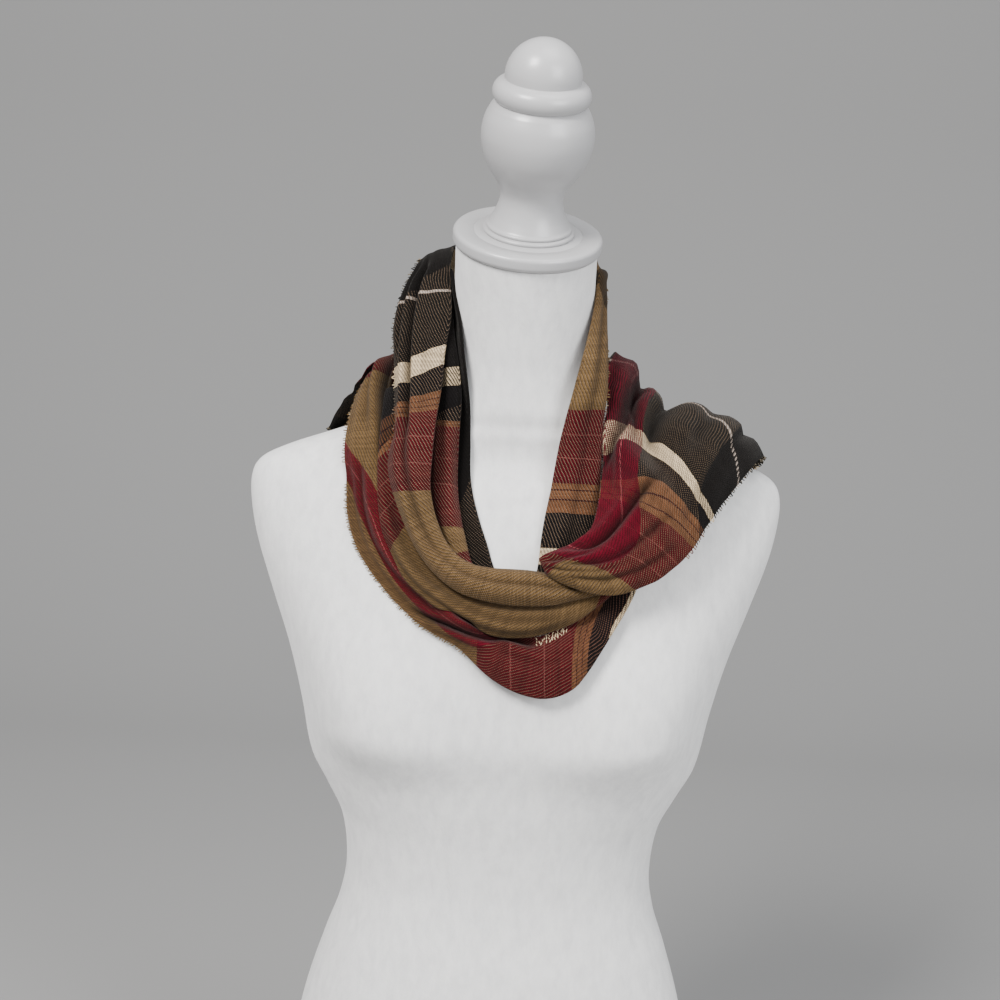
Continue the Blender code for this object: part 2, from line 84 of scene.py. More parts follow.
sweep_side = [(SWEEP_FRONT, 0.0), (SWEEP_BACK - SWEEP_RADIUS, 0.0)]
for step in range(1, SWEEP_STEPS + 1):
    turn = math.pi / 2 * step / SWEEP_STEPS
    back = SWEEP_BACK - SWEEP_RADIUS + SWEEP_RADIUS * math.sin(turn)
    sweep_side.append((back, SWEEP_RADIUS * (1 - math.cos(turn))))
sweep_side.append((SWEEP_BACK, SWEEP_TOP))
sweep_mesh = bpy.data.meshes.new("paper_sweep")
sweep_mesh.from_pydata(
    [(side * SWEEP_HALF_WIDTH, y, z - SWEEP_BELOW) for y, z in sweep_side for side in (-1, 1)],
    [],
    [(2 * i, 2 * i + 1, 2 * i + 3, 2 * i + 2) for i in range(len(sweep_side) - 1)],
)
paper = new_material("paper", PAPER_GREY, 0.9)[0]
add_piece("paper_sweep", sweep_mesh, paper)


def add_lamp(name, place, target, size, watts, colour):
    """A square soft lamp at a place, facing a target."""
    light = bpy.data.lights.new(name, "AREA")
    light.shape = "SQUARE"
    light.size = size
    light.energy = watts
    light.color = colour
    lamp = bpy.data.objects.new(name, light)
    lamp.location = place
    lamp.rotation_euler = (Vector(target) - Vector(place)).to_track_quat("-Z", "Y").to_euler()
    bpy.context.scene.collection.objects.link(lamp)


add_lamp("lamp_front_left", (-1.1, -1.7, 2.5), (0, 0, 0.7), 0.9, 128, (1.0, 0.985, 0.97))
add_lamp("lamp_right", (1.7, -2.0, 1.5), (0.1, 0, 0.6), 1.4, 60, (0.96, 0.98, 1.0))
add_lamp("lamp_top", (0.5, -0.7, 2.7), (0, 0, 0.7), 1.2, 20, (1.0, 1.0, 1.0))

world = bpy.data.worlds.new("studio")
world.use_nodes = True
set_inputs(world.node_tree.nodes["Background"], {"Color": WALL_COLOUR, "Strength": WALL_LIGHT})
bpy.context.scene.world = world

# The camera stands at chest height in front of the form, tipped a little down and to one side.
CAMERA_PLACE = Vector((0.0, -1.285, 0.915))
CAMERA_DOWN = math.radians(10.0)
CAMERA_TURN = math.radians(-0.54)
CAMERA_ROLL = math.radians(2.6)
SENSOR_MM = 36.0
FOCAL_SHARE = 1.6

view_line = Vector(
    (
        math.sin(CAMERA_TURN) * math.cos(CAMERA_DOWN),
        math.cos(CAMERA_TURN) * math.cos(CAMERA_DOWN),
        -math.sin(CAMERA_DOWN),
    )
)
level_right = Vector((math.cos(CAMERA_TURN), -math.sin(CAMERA_TURN), 0.0))
level_up = level_right.cross(view_line)
right = level_right * math.cos(CAMERA_ROLL) + level_up * math.sin(CAMERA_ROLL)
up = level_up * math.cos(CAMERA_ROLL) - level_right * math.sin(CAMERA_ROLL)
camera_data = bpy.data.cameras.new("camera")
camera_data.sensor_width = SENSOR_MM
camera_data.lens = SENSOR_MM * FOCAL_SHARE
camera = bpy.data.objects.new("camera", camera_data)
camera.matrix_world = Matrix.Translation(CAMERA_PLACE) @ Matrix((right, up, -view_line)).transposed().to_4x4()
bpy.context.scene.collection.objects.link(camera)
bpy.context.scene.camera = camera


# The stand's base and post are turned wood under satin white paint. The base is a thick round
# disc with an eased rim, and the post screws up into the torso.
MM = 0.001
TURNED_AROUND = 128
TURNED_SHARP = math.radians(38)
SEAT_GAP = 0.3
BASE_RADIUS = 150
BASE_THICK = 20
BASE_RIM = 8
BASE_FOOT_RIM = 2
POST_TOP = 149.7
POST_FOOT = 44


def srgb(red, green, blue):
    """A colour as a screen shows it, 0 to 255, turned into the light values that shaders take."""
    shares = (red / 255, green / 255, blue / 255)
    return tuple(((c + 0.055) / 1.055) ** 2.4 if c > 0.0393 else c / 12.92 for c in shares)


def add_node(tree, kind, inputs=None, **settings):
    """A shader or geometry node with its settings and its inputs."""
    node = tree.nodes.new(kind)
    for setting, value in settings.items():
        setattr(node, setting, value)
    set_inputs(node, inputs or {})
    return node


def add_noise(tree, place, scale, detail, roughness=0.5):
    """The outputs of a noise laid over a place."""
    inputs = {"Vector": place, "Scale": scale, "Detail": detail, "Roughness": roughness}
    return add_node(tree, "ShaderNodeTexNoise", inputs).outputs


def add_bump(tree, height, strength, distance, under=None):
    """The normal of a surface that a height raises, over the bump under it if there is one."""
    inputs = {"Height": height, "Strength": strength, "Distance": distance}
    if under is not None:
        inputs["Normal"] = under
    return add_node(tree, "ShaderNodeBump", inputs).outputs["Normal"]


white_paint, paint_tree, paint_shader = new_material(
    "white_paint", srgb(174, 173, 173), 0.34, {"Coat Weight": 0.25, "Coat Roughness": 0.2}
)
paint_place = add_node(paint_tree, "ShaderNodeTexCoord").outputs["Object"]
brush_marks = add_noise(paint_tree, paint_place, 55.0, 3.0)["Fac"]
set_inputs(paint_shader, {"Normal": add_bump(paint_tree, brush_marks, 0.12, 0.0006)})


def arc(centre, radius, start, end, steps):
    """(radius, height) points along an arc, with angles in degrees from the radial direction."""
    points = []
    for step in range(steps + 1):
        angle = math.radians(start + (end - start) * step / steps)
        points.append((centre[0] + radius * math.cos(angle), centre[1] + radius * math.sin(angle)))
    return points


def eased(points, between):
    """More points on a smooth curve through the given ones."""
    made = []
    for i in range(len(points) - 1):
        before, low = Vector(points[max(i - 1, 0)]), Vector(points[i])
        high, beyond = Vector(points[i + 1]), Vector(points[min(i + 2, len(points) - 1)])
        for step in range(between):
            t = step / between
            curve = (
                low * 2
                + (high - before) * t
                + (before * 2 - low * 5 + high * 4 - beyond) * t**2
                + (low * 3 - before - high * 3 + beyond) * t**3
            )
            made.append(curve / 2)
    return made + [Vector(points[-1])]


def turned(name, profile, node, place=Matrix()):
    """A piece turned from (radius, height) rows in millimetres, put in place in its mesh."""
    mesh = bmesh.new()
    verts = [mesh.verts.new((radius * MM, 0.0, height * MM)) for radius, height in profile]
    edges = [mesh.edges.new(pair) for pair in zip(verts, verts[1:])]
    bmesh.ops.spin(
        mesh, geom=verts + edges, angle=2 * math.pi, steps=TURNED_AROUND, axis=(0, 0, 1), cent=(0, 0, 0)
    )
    bmesh.ops.remove_doubles(mesh, verts=mesh.verts, dist=0.01 * MM)
    bmesh.ops.recalc_face_normals(mesh, faces=mesh.faces)
    mesh.transform(place)
    data = bpy.data.meshes.new(name)
    mesh.to_mesh(data)
    mesh.free()
    piece = add_piece(name, data, white_paint)
    data.set_sharp_from_angle(angle=TURNED_SHARP)
    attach(piece, "root")
    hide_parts(node)


turned(
    "painted_base",
    [(0, 0), (BASE_RADIUS - BASE_FOOT_RIM, 0)]
    + arc((BASE_RADIUS - BASE_FOOT_RIM, BASE_FOOT_RIM), BASE_FOOT_RIM, -60, 0, 4)
    + arc((BASE_RADIUS - BASE_RIM, BASE_THICK - BASE_RIM), BASE_RIM, 0, 90, 12)
    + [(BASE_RADIUS - 14, BASE_THICK), (0, BASE_THICK)],
    "stand_base",
)
POST_CURVE = [
    (45, BASE_THICK + 6),
    (38, BASE_THICK + 12),
    (27, BASE_THICK + 18),
    (22, BASE_THICK + 30),
    (24, BASE_THICK + 55),
    (28, BASE_THICK + 72),
    (24, BASE_THICK + 88),
    (21, BASE_THICK + 104),
    (27, POST_TOP - 14),
    (38, POST_TOP - 8),
    (40, POST_TOP),
]
turned(
    "painted_post",
    [(0, BASE_THICK + SEAT_GAP), (POST_FOOT, BASE_THICK + SEAT_GAP)] + eased(POST_CURVE, 6) + [(0, POST_TOP)],
    "stand_post",
)

# The torso is foam with white cotton jersey pulled over it, smooth from the hips to the neck. The
# jersey is a fine knit, a little fuzzy, and it is slightly soiled from use.
TORSO_COLUMNS = ("height", "set_back", "tilt", "half_width", "front", "back", "squareness")
TORSO = (
    (150, 0, 0, 132, 88, 94, 2.0),
    (153, 0, 0, 146, 98, 106, 2.0),
    (162, 0, 0, 157, 106, 116, 2.0),
    (185, 0, 0, 166, 111, 122, 2.05),
    (215, 0, 0, 168, 110, 122, 2.1),
    (260, 0, 0, 160, 103, 114, 2.1),
    (310, 0, 0, 145, 95, 98, 2.1),
    (345, 0, 0, 133, 89, 88, 2.1),
    (378, 0, 0, 128, 86, 82, 2.1),
    (420, 0, 0, 133, 90, 83, 2.1),
    (450, 0, 0, 147, 95, 87, 2.15),
    (475, 0, 0, 160, 97, 91, 2.15),
    (520, 0, 0, 169, 98, 95, 2.2),
    (565, 0, 0, 180, 97, 99, 2.3),
    (610, 0, 0, 195, 90, 100, 2.35),
    (650, 0, 0, 208, 80, 97, 2.35),
    (680, 0, 0, 214, 70, 90, 2.3),
    (703, 0, 0, 214, 60, 82, 2.25),
    (716, 0, 0, 206, 53, 77, 2.2),
    (727, 0, 0, 184, 49, 73, 2.15),
    (738, 0, 1, 152, 49, 71, 2.1),
    (749, 0, 3, 120, 51, 68, 2.05),
    (760, 2, 5, 94, 54, 64, 2.0),
    (772, 2, 7, 77, 57, 61, 2.0),
    (790, 0, 10, 65, 57, 57, 2.0),
    (815, -6, 14, 58, 55, 55, 2.0),
    (850, -16, 18, 55.5, 54.5, 54.5, 2.0),
    (894, -30, 20.5, 55, 54.5, 54.5, 2.0),
)
TORSO_AROUND = 168
TORSO_RING_STEP = 4
TORSO_FINE_STEP = 1.5
TORSO_SHARP = math.radians(40)
HEM_TOP = 165
SHOULDERS = (700, 765)
CAP_LEAN = math.radians(20.5)
CAP_SIDE_LEAN = math.radians(3)
BUST_HEIGHT = 516
BUST_TURN = math.radians(31)
BUST_SWELL = 29
BUST_SPREAD_TURN = math.radians(24)
BUST_SPREAD_UP = 90
BUST_SPREAD_DOWN = 36


def read_at(table, columns, where):
    """Every column of a table at one value of its first column, on a smooth curve through the rows."""
    keys = [row[0] for row in table]
    place = min(max(where, keys[0]), keys[-1])
    after = next(i for i in range(1, len(keys)) if place <= keys[i])
    low, high = table[after - 1], table[after]
    before = table[max(after - 2, 0)]
    beyond = table[min(after + 1, len(table) - 1)]
    span = high[0] - low[0]
    t = (place - low[0]) / span
    values = {}
    for c, column in enumerate(columns):
        start_slope = (high[c] - before[c]) / max(high[0] - before[0], 1e-9)
        end_slope = (beyond[c] - low[c]) / max(beyond[0] - low[0], 1e-9)
        values[column] = (
            (2 * t**3 - 3 * t**2 + 1) * low[c]
            + (t**3 - 2 * t**2 + t) * span * start_slope
            + (3 * t**2 - 2 * t**3) * high[c]
            + (t**3 - t**2) * span * end_slope
        )
    return values


def bust_swell(turn, height):
    """How far the bust stands out of the plain section, at a turn from the front."""
    spread = BUST_SPREAD_UP if height > BUST_HEIGHT else BUST_SPREAD_DOWN
    rise = math.exp(-(((height - BUST_HEIGHT) / spread) ** 2))
    mounds = sum(math.exp(-(((turn - side * BUST_TURN) / BUST_SPREAD_TURN) ** 2)) for side in (-1, 1))
    return BUST_SWELL * rise * mounds


def torso_ring(height):
    """The points of the torso's section at one height, in metres."""
    row = read_at(TORSO, TORSO_COLUMNS, height)
    power = 2.0 / row["squareness"]
    tilt = math.radians(row["tilt"])
    lean = Euler((tilt, tilt * CAP_SIDE_LEAN / CAP_LEAN, 0.0)).to_matrix()
    ring = []
    for step in range(TORSO_AROUND):
        turn = 2 * math.pi * step / TORSO_AROUND
        across, ahead = math.sin(turn), math.cos(turn)
        depth = row["front"] if ahead > 0 else row["back"]
        swell = bust_swell((turn + math.pi) % (2 * math.pi) - math.pi, height)
        x = row["half_width"] * math.copysign(abs(across) ** power, across) + swell * across
        y = -depth * math.copysign(abs(ahead) ** power, ahead) - swell * ahead
        centre = Vector((0.0, row["set_back"], height))
        ring.append((centre + lean @ Vector((x, y, 0.0))) * MM)
    return ring


def torso_heights():
    """Ring heights, close together at the hem and over the shoulders where the form turns quickly."""
    heights = [TORSO[0][0]]
    while heights[-1] < TORSO[-1][0]:
        quick_turn = heights[-1] < HEM_TOP or SHOULDERS[0] < heights[-1] < SHOULDERS[1]
        heights.append(heights[-1] + (TORSO_FINE_STEP if quick_turn else TORSO_RING_STEP))
    heights[-1] = TORSO[-1][0]
    return heights


torso_points = []
torso_faces = []
for ring_index, height in enumerate(torso_heights()):
    torso_points += torso_ring(height)
    if ring_index:
        last = (ring_index - 1) * TORSO_AROUND
        for i in range(TORSO_AROUND):
            j = (i + 1) % TORSO_AROUND
            torso_faces.append((last + i, last + TORSO_AROUND + i, last + TORSO_AROUND + j, last + j))
torso_faces.append(tuple(range(TORSO_AROUND)))
torso_faces.append(tuple(len(torso_points) - TORSO_AROUND + i for i in reversed(range(TORSO_AROUND))))
torso_mesh = bpy.data.meshes.new("jersey_torso")
torso_mesh.from_pydata(torso_points, [], torso_faces)
torso_shape = bmesh.new()
torso_shape.from_mesh(torso_mesh)
bmesh.ops.recalc_face_normals(torso_shape, faces=torso_shape.faces)
torso_shape.to_mesh(torso_mesh)
torso_shape.free()

jersey, jersey_tree, jersey_shader = new_material(
    "white_jersey",
    srgb(222, 221, 219),
    0.92,
    {"Sheen Weight": 0.25, "Sheen Roughness": 0.5, "Specular IOR Level": 0.2},
)
jersey_place = add_node(jersey_tree, "ShaderNodeTexCoord").outputs["Object"]
along_wales = add_node(jersey_tree, "ShaderNodeMapping", {"Vector": jersey_place, "Scale": (1.0, 1.0, 0.45)})
lint = add_noise(jersey_tree, along_wales.outputs["Vector"], 120.0, 6.0, 0.65)["Fac"]
lint_tone = add_node(jersey_tree, "ShaderNodeValToRGB", {"Fac": lint})
soiled, clean = lint_tone.color_ramp.elements
soiled.position, soiled.color = 0.3, (*srgb(214, 213, 212), 1)
clean.position, clean.color = 0.62, (*srgb(229, 228, 226), 1)
knit = add_noise(jersey_tree, jersey_place, 900.0, 2.0)["Fac"]
lint_bump = add_bump(jersey_tree, lint, 0.5, 0.0009)
knit_bump = add_bump(jersey_tree, knit, 0.35, 0.0004, lint_bump)
set_inputs(jersey_shader, {"Base Color": lint_tone.outputs["Color"], "Normal": knit_bump})

torso = add_piece("jersey_torso", torso_mesh, jersey)
torso_mesh.set_sharp_from_angle(angle=TORSO_SHARP)
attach(torso, "root")
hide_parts("form_torso")


# The neck cap and its urn-shaped finial are one piece of turned wood under the same white paint, with
# two beads where the stem meets the disc. It sits on the cut neck and leans with it.
CAP_RADIUS = 58
CAP_THICK = 12
NECK_TOP = Vector((0.0, TORSO[-1][1], TORSO[-1][0])) * MM
STEM_CURVE = [
    (31.2, CAP_THICK + 7.8),
    (29.4, CAP_THICK + 11),
    (27.4, CAP_THICK + 15),
    (25.4, CAP_THICK + 20.5),
    (24.2, CAP_THICK + 26.5),
    (24.8, CAP_THICK + 33),
    (28.5, CAP_THICK + 40.5),
    (34.6, CAP_THICK + 49.5),
    (39.6, CAP_THICK + 60),
    (42.1, CAP_THICK + 70),
    (42.6, CAP_THICK + 79),
    (40.8, CAP_THICK + 89),
    (36.8, CAP_THICK + 97.5),
]
cap_turn = Euler((CAP_LEAN, CAP_SIDE_LEAN, 0.0)).to_matrix().to_4x4()
cap_foot = NECK_TOP + cap_turn.to_3x3() @ Vector((0.0, 0.0, SEAT_GAP * MM))
turned(
    "painted_cap_finial",
    [(0, 0), (CAP_RADIUS - 4, 0)]
    + arc((CAP_RADIUS - 4.5, 4.5), 4.5, -75, 0, 7)
    + arc((CAP_RADIUS - 3.5, CAP_THICK - 3.5), 3.5, 0, 90, 7)
    + [(43, CAP_THICK), (42.2, CAP_THICK - 0.5), (41.4, CAP_THICK), (36.5, CAP_THICK)]
    + arc((33.9, CAP_THICK + 1.8), 1.6, -60, 70, 8)
    + arc((31.7, CAP_THICK + 5.2), 1.6, -60, 70, 8)
    + eased(STEM_CURVE, 4)
    + arc((27.5, CAP_THICK + 108), 9.4, -52, 75, 14)
    + [(28.6, CAP_THICK + 117.8)]
    + arc((0, CAP_THICK + 119.8), 28.8, 4, 90, 14),
    "form_cap_finial",
    Matrix.Translation(cap_foot) @ cap_turn,
)


# The scarf's cloth is a soft brushed twill that repeats every four threads, in a plaid. Across the strip
# run tan, crimson, rust, black, cream and olive bands, and lengthwise crimson, tan and dark ones. A band
# is where it starts, its thread's colour, and the share of the warp, the long threads, that shows on it.
END_PITCH = 0.62
PICK_PITCH = 1.05
TWILL_THREADS = 4.0
# The next four numbers set painted shade: a dark line beside each rib of the twill, and darker grooves
# between the rounds of the threads.
RIB_SHADOW_WIDTH = 1.2
RIB_SHADE = 0.5
PAINTED_THREAD_ROUND = 0.84
GROOVE_LIGHT = 0.36
THREAD_SPREAD = 0.34
THREAD_LIGHT = 0.51
# Painted shade: how much darker the bottom of the deepest crease is painted.
FOLD_SHADE = 0.8
WEFT_HALF_REPEAT = 247.25
WEFT_BANDS = (
    (0, 97, 75, 45, 1),
    (80, 68, 3, 13, 1),
    (101.6, 104, 50, 48, 1),
    (102.5, 68, 3, 13, 1),
    (124.5, 104, 50, 48, 1),
    (125.5, 68, 3, 13, 1),
    (148, 97, 62, 39, 0.9),
    (152.6, 46, 12, 12, 0.9),
    (153.6, 97, 62, 39, 0.9),
    (159.6, 46, 12, 12, 0.9),
    (160.6, 97, 62, 39, 0.9),
    (168, 9, 7, 8, 0.8),
    (188, 192, 171, 139, 0.62),
    (202, 10, 9, 7, 0.66),
    (246.1, 160, 146, 134, 0.9),
)
WARP_REPEAT = 250
WARP_BANDS = (
    (0, 80, 1, 21, 0.84),
    (14.6, 122, 52, 58, 0.7),
    (15.3, 80, 1, 21, 0.84),
    (30, 98, 80, 62, 0.19),
    (82, 9, 8, 9, 0.6),
    (102, 33, 24, 18, 0.4),
    (140, 116, 97, 80, 0.155),
    (192, 9, 8, 9, 0.6),
    (212, 90, 62, 51, 0.23),
)


def band_ramp(tree, bands, place, length):
    """The outputs of a ramp of thread colours, with how much of the warp shows on each as its alpha."""
    ramp = add_node(tree, "ShaderNodeValToRGB", {"Fac": add_math(tree, "DIVIDE", place, length)})
    ramp.color_ramp.interpolation = "CONSTANT"
    stops = ramp.color_ramp.elements
    for index, (starts, red, green, blue, shows) in enumerate(bands):
        stop = stops[index] if index < 2 else stops.new(starts / length)
        stop.position = starts / length
        stop.color = (*srgb(red, green, blue), shows)
    return ramp.outputs


def add_math(tree, operation, first, second=None, clamp=False):
    """The value of a math node whose inputs are numbers or other nodes' outputs."""
    inputs = {0: first} if second is None else {0: first, 1: second}
    return add_node(tree, "ShaderNodeMath", inputs, operation=operation, use_clamp=clamp).outputs["Value"]


def plaid_colours(tree):
    """The weft's and the warp's thread colours at a place, the share of the warp that shows, and the painted
    crease shade, read from the cloth's own attribute of sett and painted shade.
    """
    sett_and_painted_shade = add_node(tree, "ShaderNodeAttribute", attribute_name="sett_and_painted_shade").outputs["Vector"]
    place = add_node(tree, "ShaderNodeSeparateXYZ", {"Vector": sett_and_painted_shade}).outputs
    weft_place = add_math(tree, "PINGPONG", place["X"], WEFT_HALF_REPEAT)
    warp_place = add_math(tree, "FLOORED_MODULO", place["Y"], WARP_REPEAT)
    weft = band_ramp(tree, WEFT_BANDS, weft_place, WEFT_HALF_REPEAT)
    warp = band_ramp(tree, WARP_BANDS, warp_place, WARP_REPEAT)
    warp_share = add_math(tree, "MULTIPLY", weft["Alpha"], warp["Alpha"])
    return weft["Color"], warp["Color"], warp_share, place["Z"]


def blend_colours(tree, share, first, second):
    """A mix of two colours, all from the first at 0 and all from the second at 1."""
    return add_node(tree, "ShaderNodeMix", {0: share, 6: first, 7: second}, data_type="RGBA").outputs[2]


cloth, cloth_tree, cloth_shader = new_material(
    "plaid_twill",
    srgb(140, 80, 60),
    0.88,
    {
        "Specular IOR Level": 0.08,
        "Sheen Weight": 0.07,
        "Sheen Roughness": 0.45,
        "Sheen Tint": (0.9, 0.85, 0.8, 1.0),
    },
)


def cloth_math(operation, first, second=None, clamp=False):
    """A math node's value in the cloth's own tree."""
    return add_math(cloth_tree, operation, first, second, clamp)


# Thread counts: the weave attribute is the true distance across and along the cloth in millimetres.
weave = add_node(cloth_tree, "ShaderNodeAttribute", attribute_name="weave").outputs["Vector"]
slack = add_node(
    cloth_tree,
    "ShaderNodeVectorMath",
    {0: add_noise(cloth_tree, weave, 0.035, 2.0)["Color"], "Scale": 5.0},
    operation="SCALE",
)
woven_place = add_node(
    cloth_tree, "ShaderNodeVectorMath", {0: weave, 1: slack.outputs["Vector"]}, operation="ADD"
)
woven = add_node(cloth_tree, "ShaderNodeSeparateXYZ", {"Vector": woven_place.outputs["Vector"]}).outputs
end_place = cloth_math("DIVIDE", woven["X"], END_PITCH)
pick_place = cloth_math("DIVIDE", woven["Y"], PICK_PITCH)
end_number = cloth_math("FLOOR", end_place)
pick_number = cloth_math("FLOOR", pick_place)
twill_step = cloth_math("ADD", end_number, pick_place)
twill_phase = cloth_math("FLOORED_MODULO", twill_step, TWILL_THREADS)
weft_colour, warp_colour, warp_share, painted_crease_shade = plaid_colours(cloth_tree)
warp_width = cloth_math("MULTIPLY", warp_share, TWILL_THREADS)
warp_shows = cloth_math("LESS_THAN", twill_phase, warp_width)
# Painted shadow: a dark line beside each rib of the twill.
beside_rib = cloth_math("FLOORED_MODULO", cloth_math("SUBTRACT", twill_step, warp_width), TWILL_THREADS)
rib_shadow = cloth_math("LESS_THAN", beside_rib, RIB_SHADOW_WIDTH)


def thread_shade(number):
    """Each thread's own shade, by its number."""
    shade = add_node(cloth_tree, "ShaderNodeTexWhiteNoise", noise_dimensions="1D")
    set_inputs(shade, {"W": number})
    return shade.outputs["Value"]


def thread_round(place):
    """How high the round of a thread stands, 0 between threads and 1 in the middle of one."""
    return cloth_math("SINE", cloth_math("MULTIPLY", cloth_math("FRACT", place), math.pi))


# Each thread's own shade, and the round of the yarn where it lies on top, with painted shade in the grooves
# between threads. The sett attribute's third number is painted shade: how deep in a crease the cloth lies,
# and the bottom of a crease is painted darker.
yarn_colour = blend_colours(cloth_tree, warp_shows, weft_colour, warp_colour)
wear = add_noise(cloth_tree, weave, 0.16, 4.0)["Fac"]
shade_sum = cloth_math("ADD", thread_shade(end_number), thread_shade(pick_number))
shade_sum = cloth_math("ADD", shade_sum, wear)
yarn_round = add_node(
    cloth_tree,
    "ShaderNodeMix",
    {0: warp_shows, 2: thread_round(pick_place), 3: thread_round(end_place)},
    data_type="FLOAT",
).outputs[0]
# Painted shade: the colour is darker in the grooves between the rounds of the threads and beside each rib.
painted_groove_shade = cloth_math("ADD", cloth_math("MULTIPLY", yarn_round, PAINTED_THREAD_ROUND), GROOVE_LIGHT)
painted_groove_shade = cloth_math("SUBTRACT", painted_groove_shade, cloth_math("MULTIPLY", rib_shadow, RIB_SHADE))
# Painted shade: the bottom of a crease is painted darker.
painted_fold_darkening = cloth_math("SUBTRACT", 1.0, cloth_math("MULTIPLY", painted_crease_shade, FOLD_SHADE))
shade = cloth_math("ADD", cloth_math("MULTIPLY", shade_sum, THREAD_SPREAD), THREAD_LIGHT)
shade = cloth_math("MULTIPLY", cloth_math("MULTIPLY", shade, painted_groove_shade), painted_fold_darkening)
shaded = add_node(cloth_tree, "ShaderNodeHueSaturation", {"Value": shade, "Color": yarn_colour})

# Brushed fibres lie over the threads as a fine, uneven nap.
nap = add_noise(cloth_tree, weave, 1.6, 5.0)["Fac"]
nap_share = cloth_math("MULTIPLY", cloth_math("SUBTRACT", nap, 0.42, clamp=True), 0.22)
napped = blend_colours(cloth_tree, nap_share, shaded.outputs["Color"], (*srgb(70, 54, 44), 1.0))
yarn_bump = add_bump(cloth_tree, yarn_round, 0.6, 0.0004)
nap_bump = add_bump(cloth_tree, nap, 0.5, 0.0006, yarn_bump)
set_inputs(cloth_shader, {"Base Color": napped, "Normal": nap_bump})


# The scarf is one loop, wound twice. Each pass is laid through rows: the edge by the neck, the edge
# away from it, how far the middle stands out, which bands of the plaid show, and which edges are folded.
# An edge that isn't folded stops short, to leave room for its yarn ends. Below LEVEL_BELOW, where the
# loop hangs lowest, the threads lie level.
WALL = 1.3
GAP = 0.3
CUT_BACK = 2.2
FOLD_REACH = 3.5
EDGE_STEPS = 4
END_ROWS = 3
END_THIN = 0.08
LEVEL_BELOW = 612
WEAVE_START = 500
ROWS_APART = 12
FINER = 4
ROW_COLUMNS = (
    "inner_x", "inner_y", "inner_z", "outer_x", "outer_y", "outer_z", "crown",
    "weft_in", "weft_bow", "weft_out", "warp_in", "warp_out", "fold_in", "fold_out",
)
NECK_LEFT = (
    (-54, -24, 873, -61, -12, 874, 0, 214, 0, 214, 84, 100, 1.5, 0),
    (-52, -38, 848, -60, -24, 849, 0, 222, 0, 222, 84, 100, 1.5, 0),
    (-48, -50, 820, -58, -34, 819, 1, 230, 0, 230, 84, 100, 1.5, 0),
    (-43, -55, 792, -58, -41, 790, 1, 238, 0, 238, 84, 100, 1.5, 0),
    (-40, -54, 770, -57, -45, 770, 1, 240, 0, 240, 84, 100, 1.5, 0),
    (-38, -54, 744, -57, -52, 743, 1, 238, 0, 238, 84, 100, 1.5, 0),
    (-36, -60, 713, -56, -60, 713, 1, 232, 0, 232, 82, 98, 1.5, 0),
    (-29, -71, 688, -51, -72, 688, 1, 226, 0, 226, 70, 84, 1.5, 0),
    (-21, -79, 667, -41, -80, 664, 1, 218, 0, 218, 62, 78, 1.5, 0),
    (-14, -85, 649, -27, -87, 643, 1, 210, 0, 210, 62, 78, 1.5, 0),
    (-6, -89, 638, -14, -92, 631, 0, 206, 0, 206, 62, 78, 1.5, 0),
)
INNER_LEFT = (
    (-58, -16, 873, -66, -6, 874, 0, 270, 0, 270, 84, 100, 1.5, 1.5),
    (-56, -30, 850, -66, -18, 851, 1, 246, 0, 246, 84, 100, 1.5, 1.5),
    (-53, -42, 828, -66, -29, 827, 2, 230, 0, 230, 84, 100, 1.5, 1.5),
    (-49, -53, 804, -67, -39, 802, 3, 206, 0, 214, 84, 100, 1.5, 1.5),
    (-46, -60, 776, -69, -47, 773, 3, 178, 0, 180, 84, 92, 1.5, 1.5),
    (-46, -61.2, 759, -69.5, -52, 758, 3, 168, 0, 169, 72, 84, 1.5, 1.5),
    (-46, -61.5, 755, -69.6, -53, 754, 3, 147, 0, 146, 66, 80, 1.5, 1.5),
    (-46, -62, 744, -70, -56, 744, 3, 142, 0, 141, 50, 70, 1.5, 1.5),
    (-45, -67, 714, -70, -66, 715, 3, 108, 0, 106, 50, 70, 1.5, 1.5),
    (-42, -78, 689, -66, -76, 688, 3, 88, 0, 86, 50, 70, 1.5, 1.5),
    (-36, -86, 668, -55, -86, 664, 2, 76, 0, 74, 50, 70, 1.5, 1.5),
    (-30, -91, 652, -43, -92, 648, 2, 96, 0, 96, 40, 60, 1.5, 1.5),
    (-17, -93, 640, -28, -96, 634, 1, 100, 0, 100, 40, 60, 1.5, 1.5),
    (-5, -94, 634, -9, -97, 626, 0, 100, 0, 100, 40, 60, 1.5, 1.5),
)
RIGHT_FALL = (
    (2, -92, 627, 8, -95, 617, 0, 240, 0, 244, 45, 62, 1.5, 0),
    (13, -90, 634, 29, -94, 627, 1, 228, 0, 232, 45, 62, 1.5, 0),
    (20, -87, 647, 45, -88, 643, 2, 213, 0, 216, 45, 62, 1.5, 0),
    (22, -81, 665, 57, -82, 662, 3, 190, 0, 192, 45, 68, 1.5, 0),
    (24, -74, 686, 62, -73, 684, 4, 173, 0, 174, 45, 70, 1.5, 0),
    (28, -66, 709, 66, -66, 709, 5, 155, 0, 155, 45, 70, 1.5, 0),
    (32, -62, 736, 67, -60, 735, 6, 124, 0, 124, 45, 70, 1.5, 0),
    (37, -62, 764, 67, -56, 765, 6, 90, 0, 89, 45, 70, 1.5, 0),
    (43, -62, 792, 68, -48, 791, 6, 58, 0, 58, 45, 70, 1.5, 0),
    (49, -54, 817, 67, -36, 816, 5, 28, 0, 28, 45, 70, 1.5, 0),
    (54, -42, 840, 65, -22, 838, 4, 0, 0, 0, 58, 78, 1.5, 0),
    (57, -26, 862, 64, -8, 860, 3, -27, 0, -27, 80, 100, 1.5, 0),
)
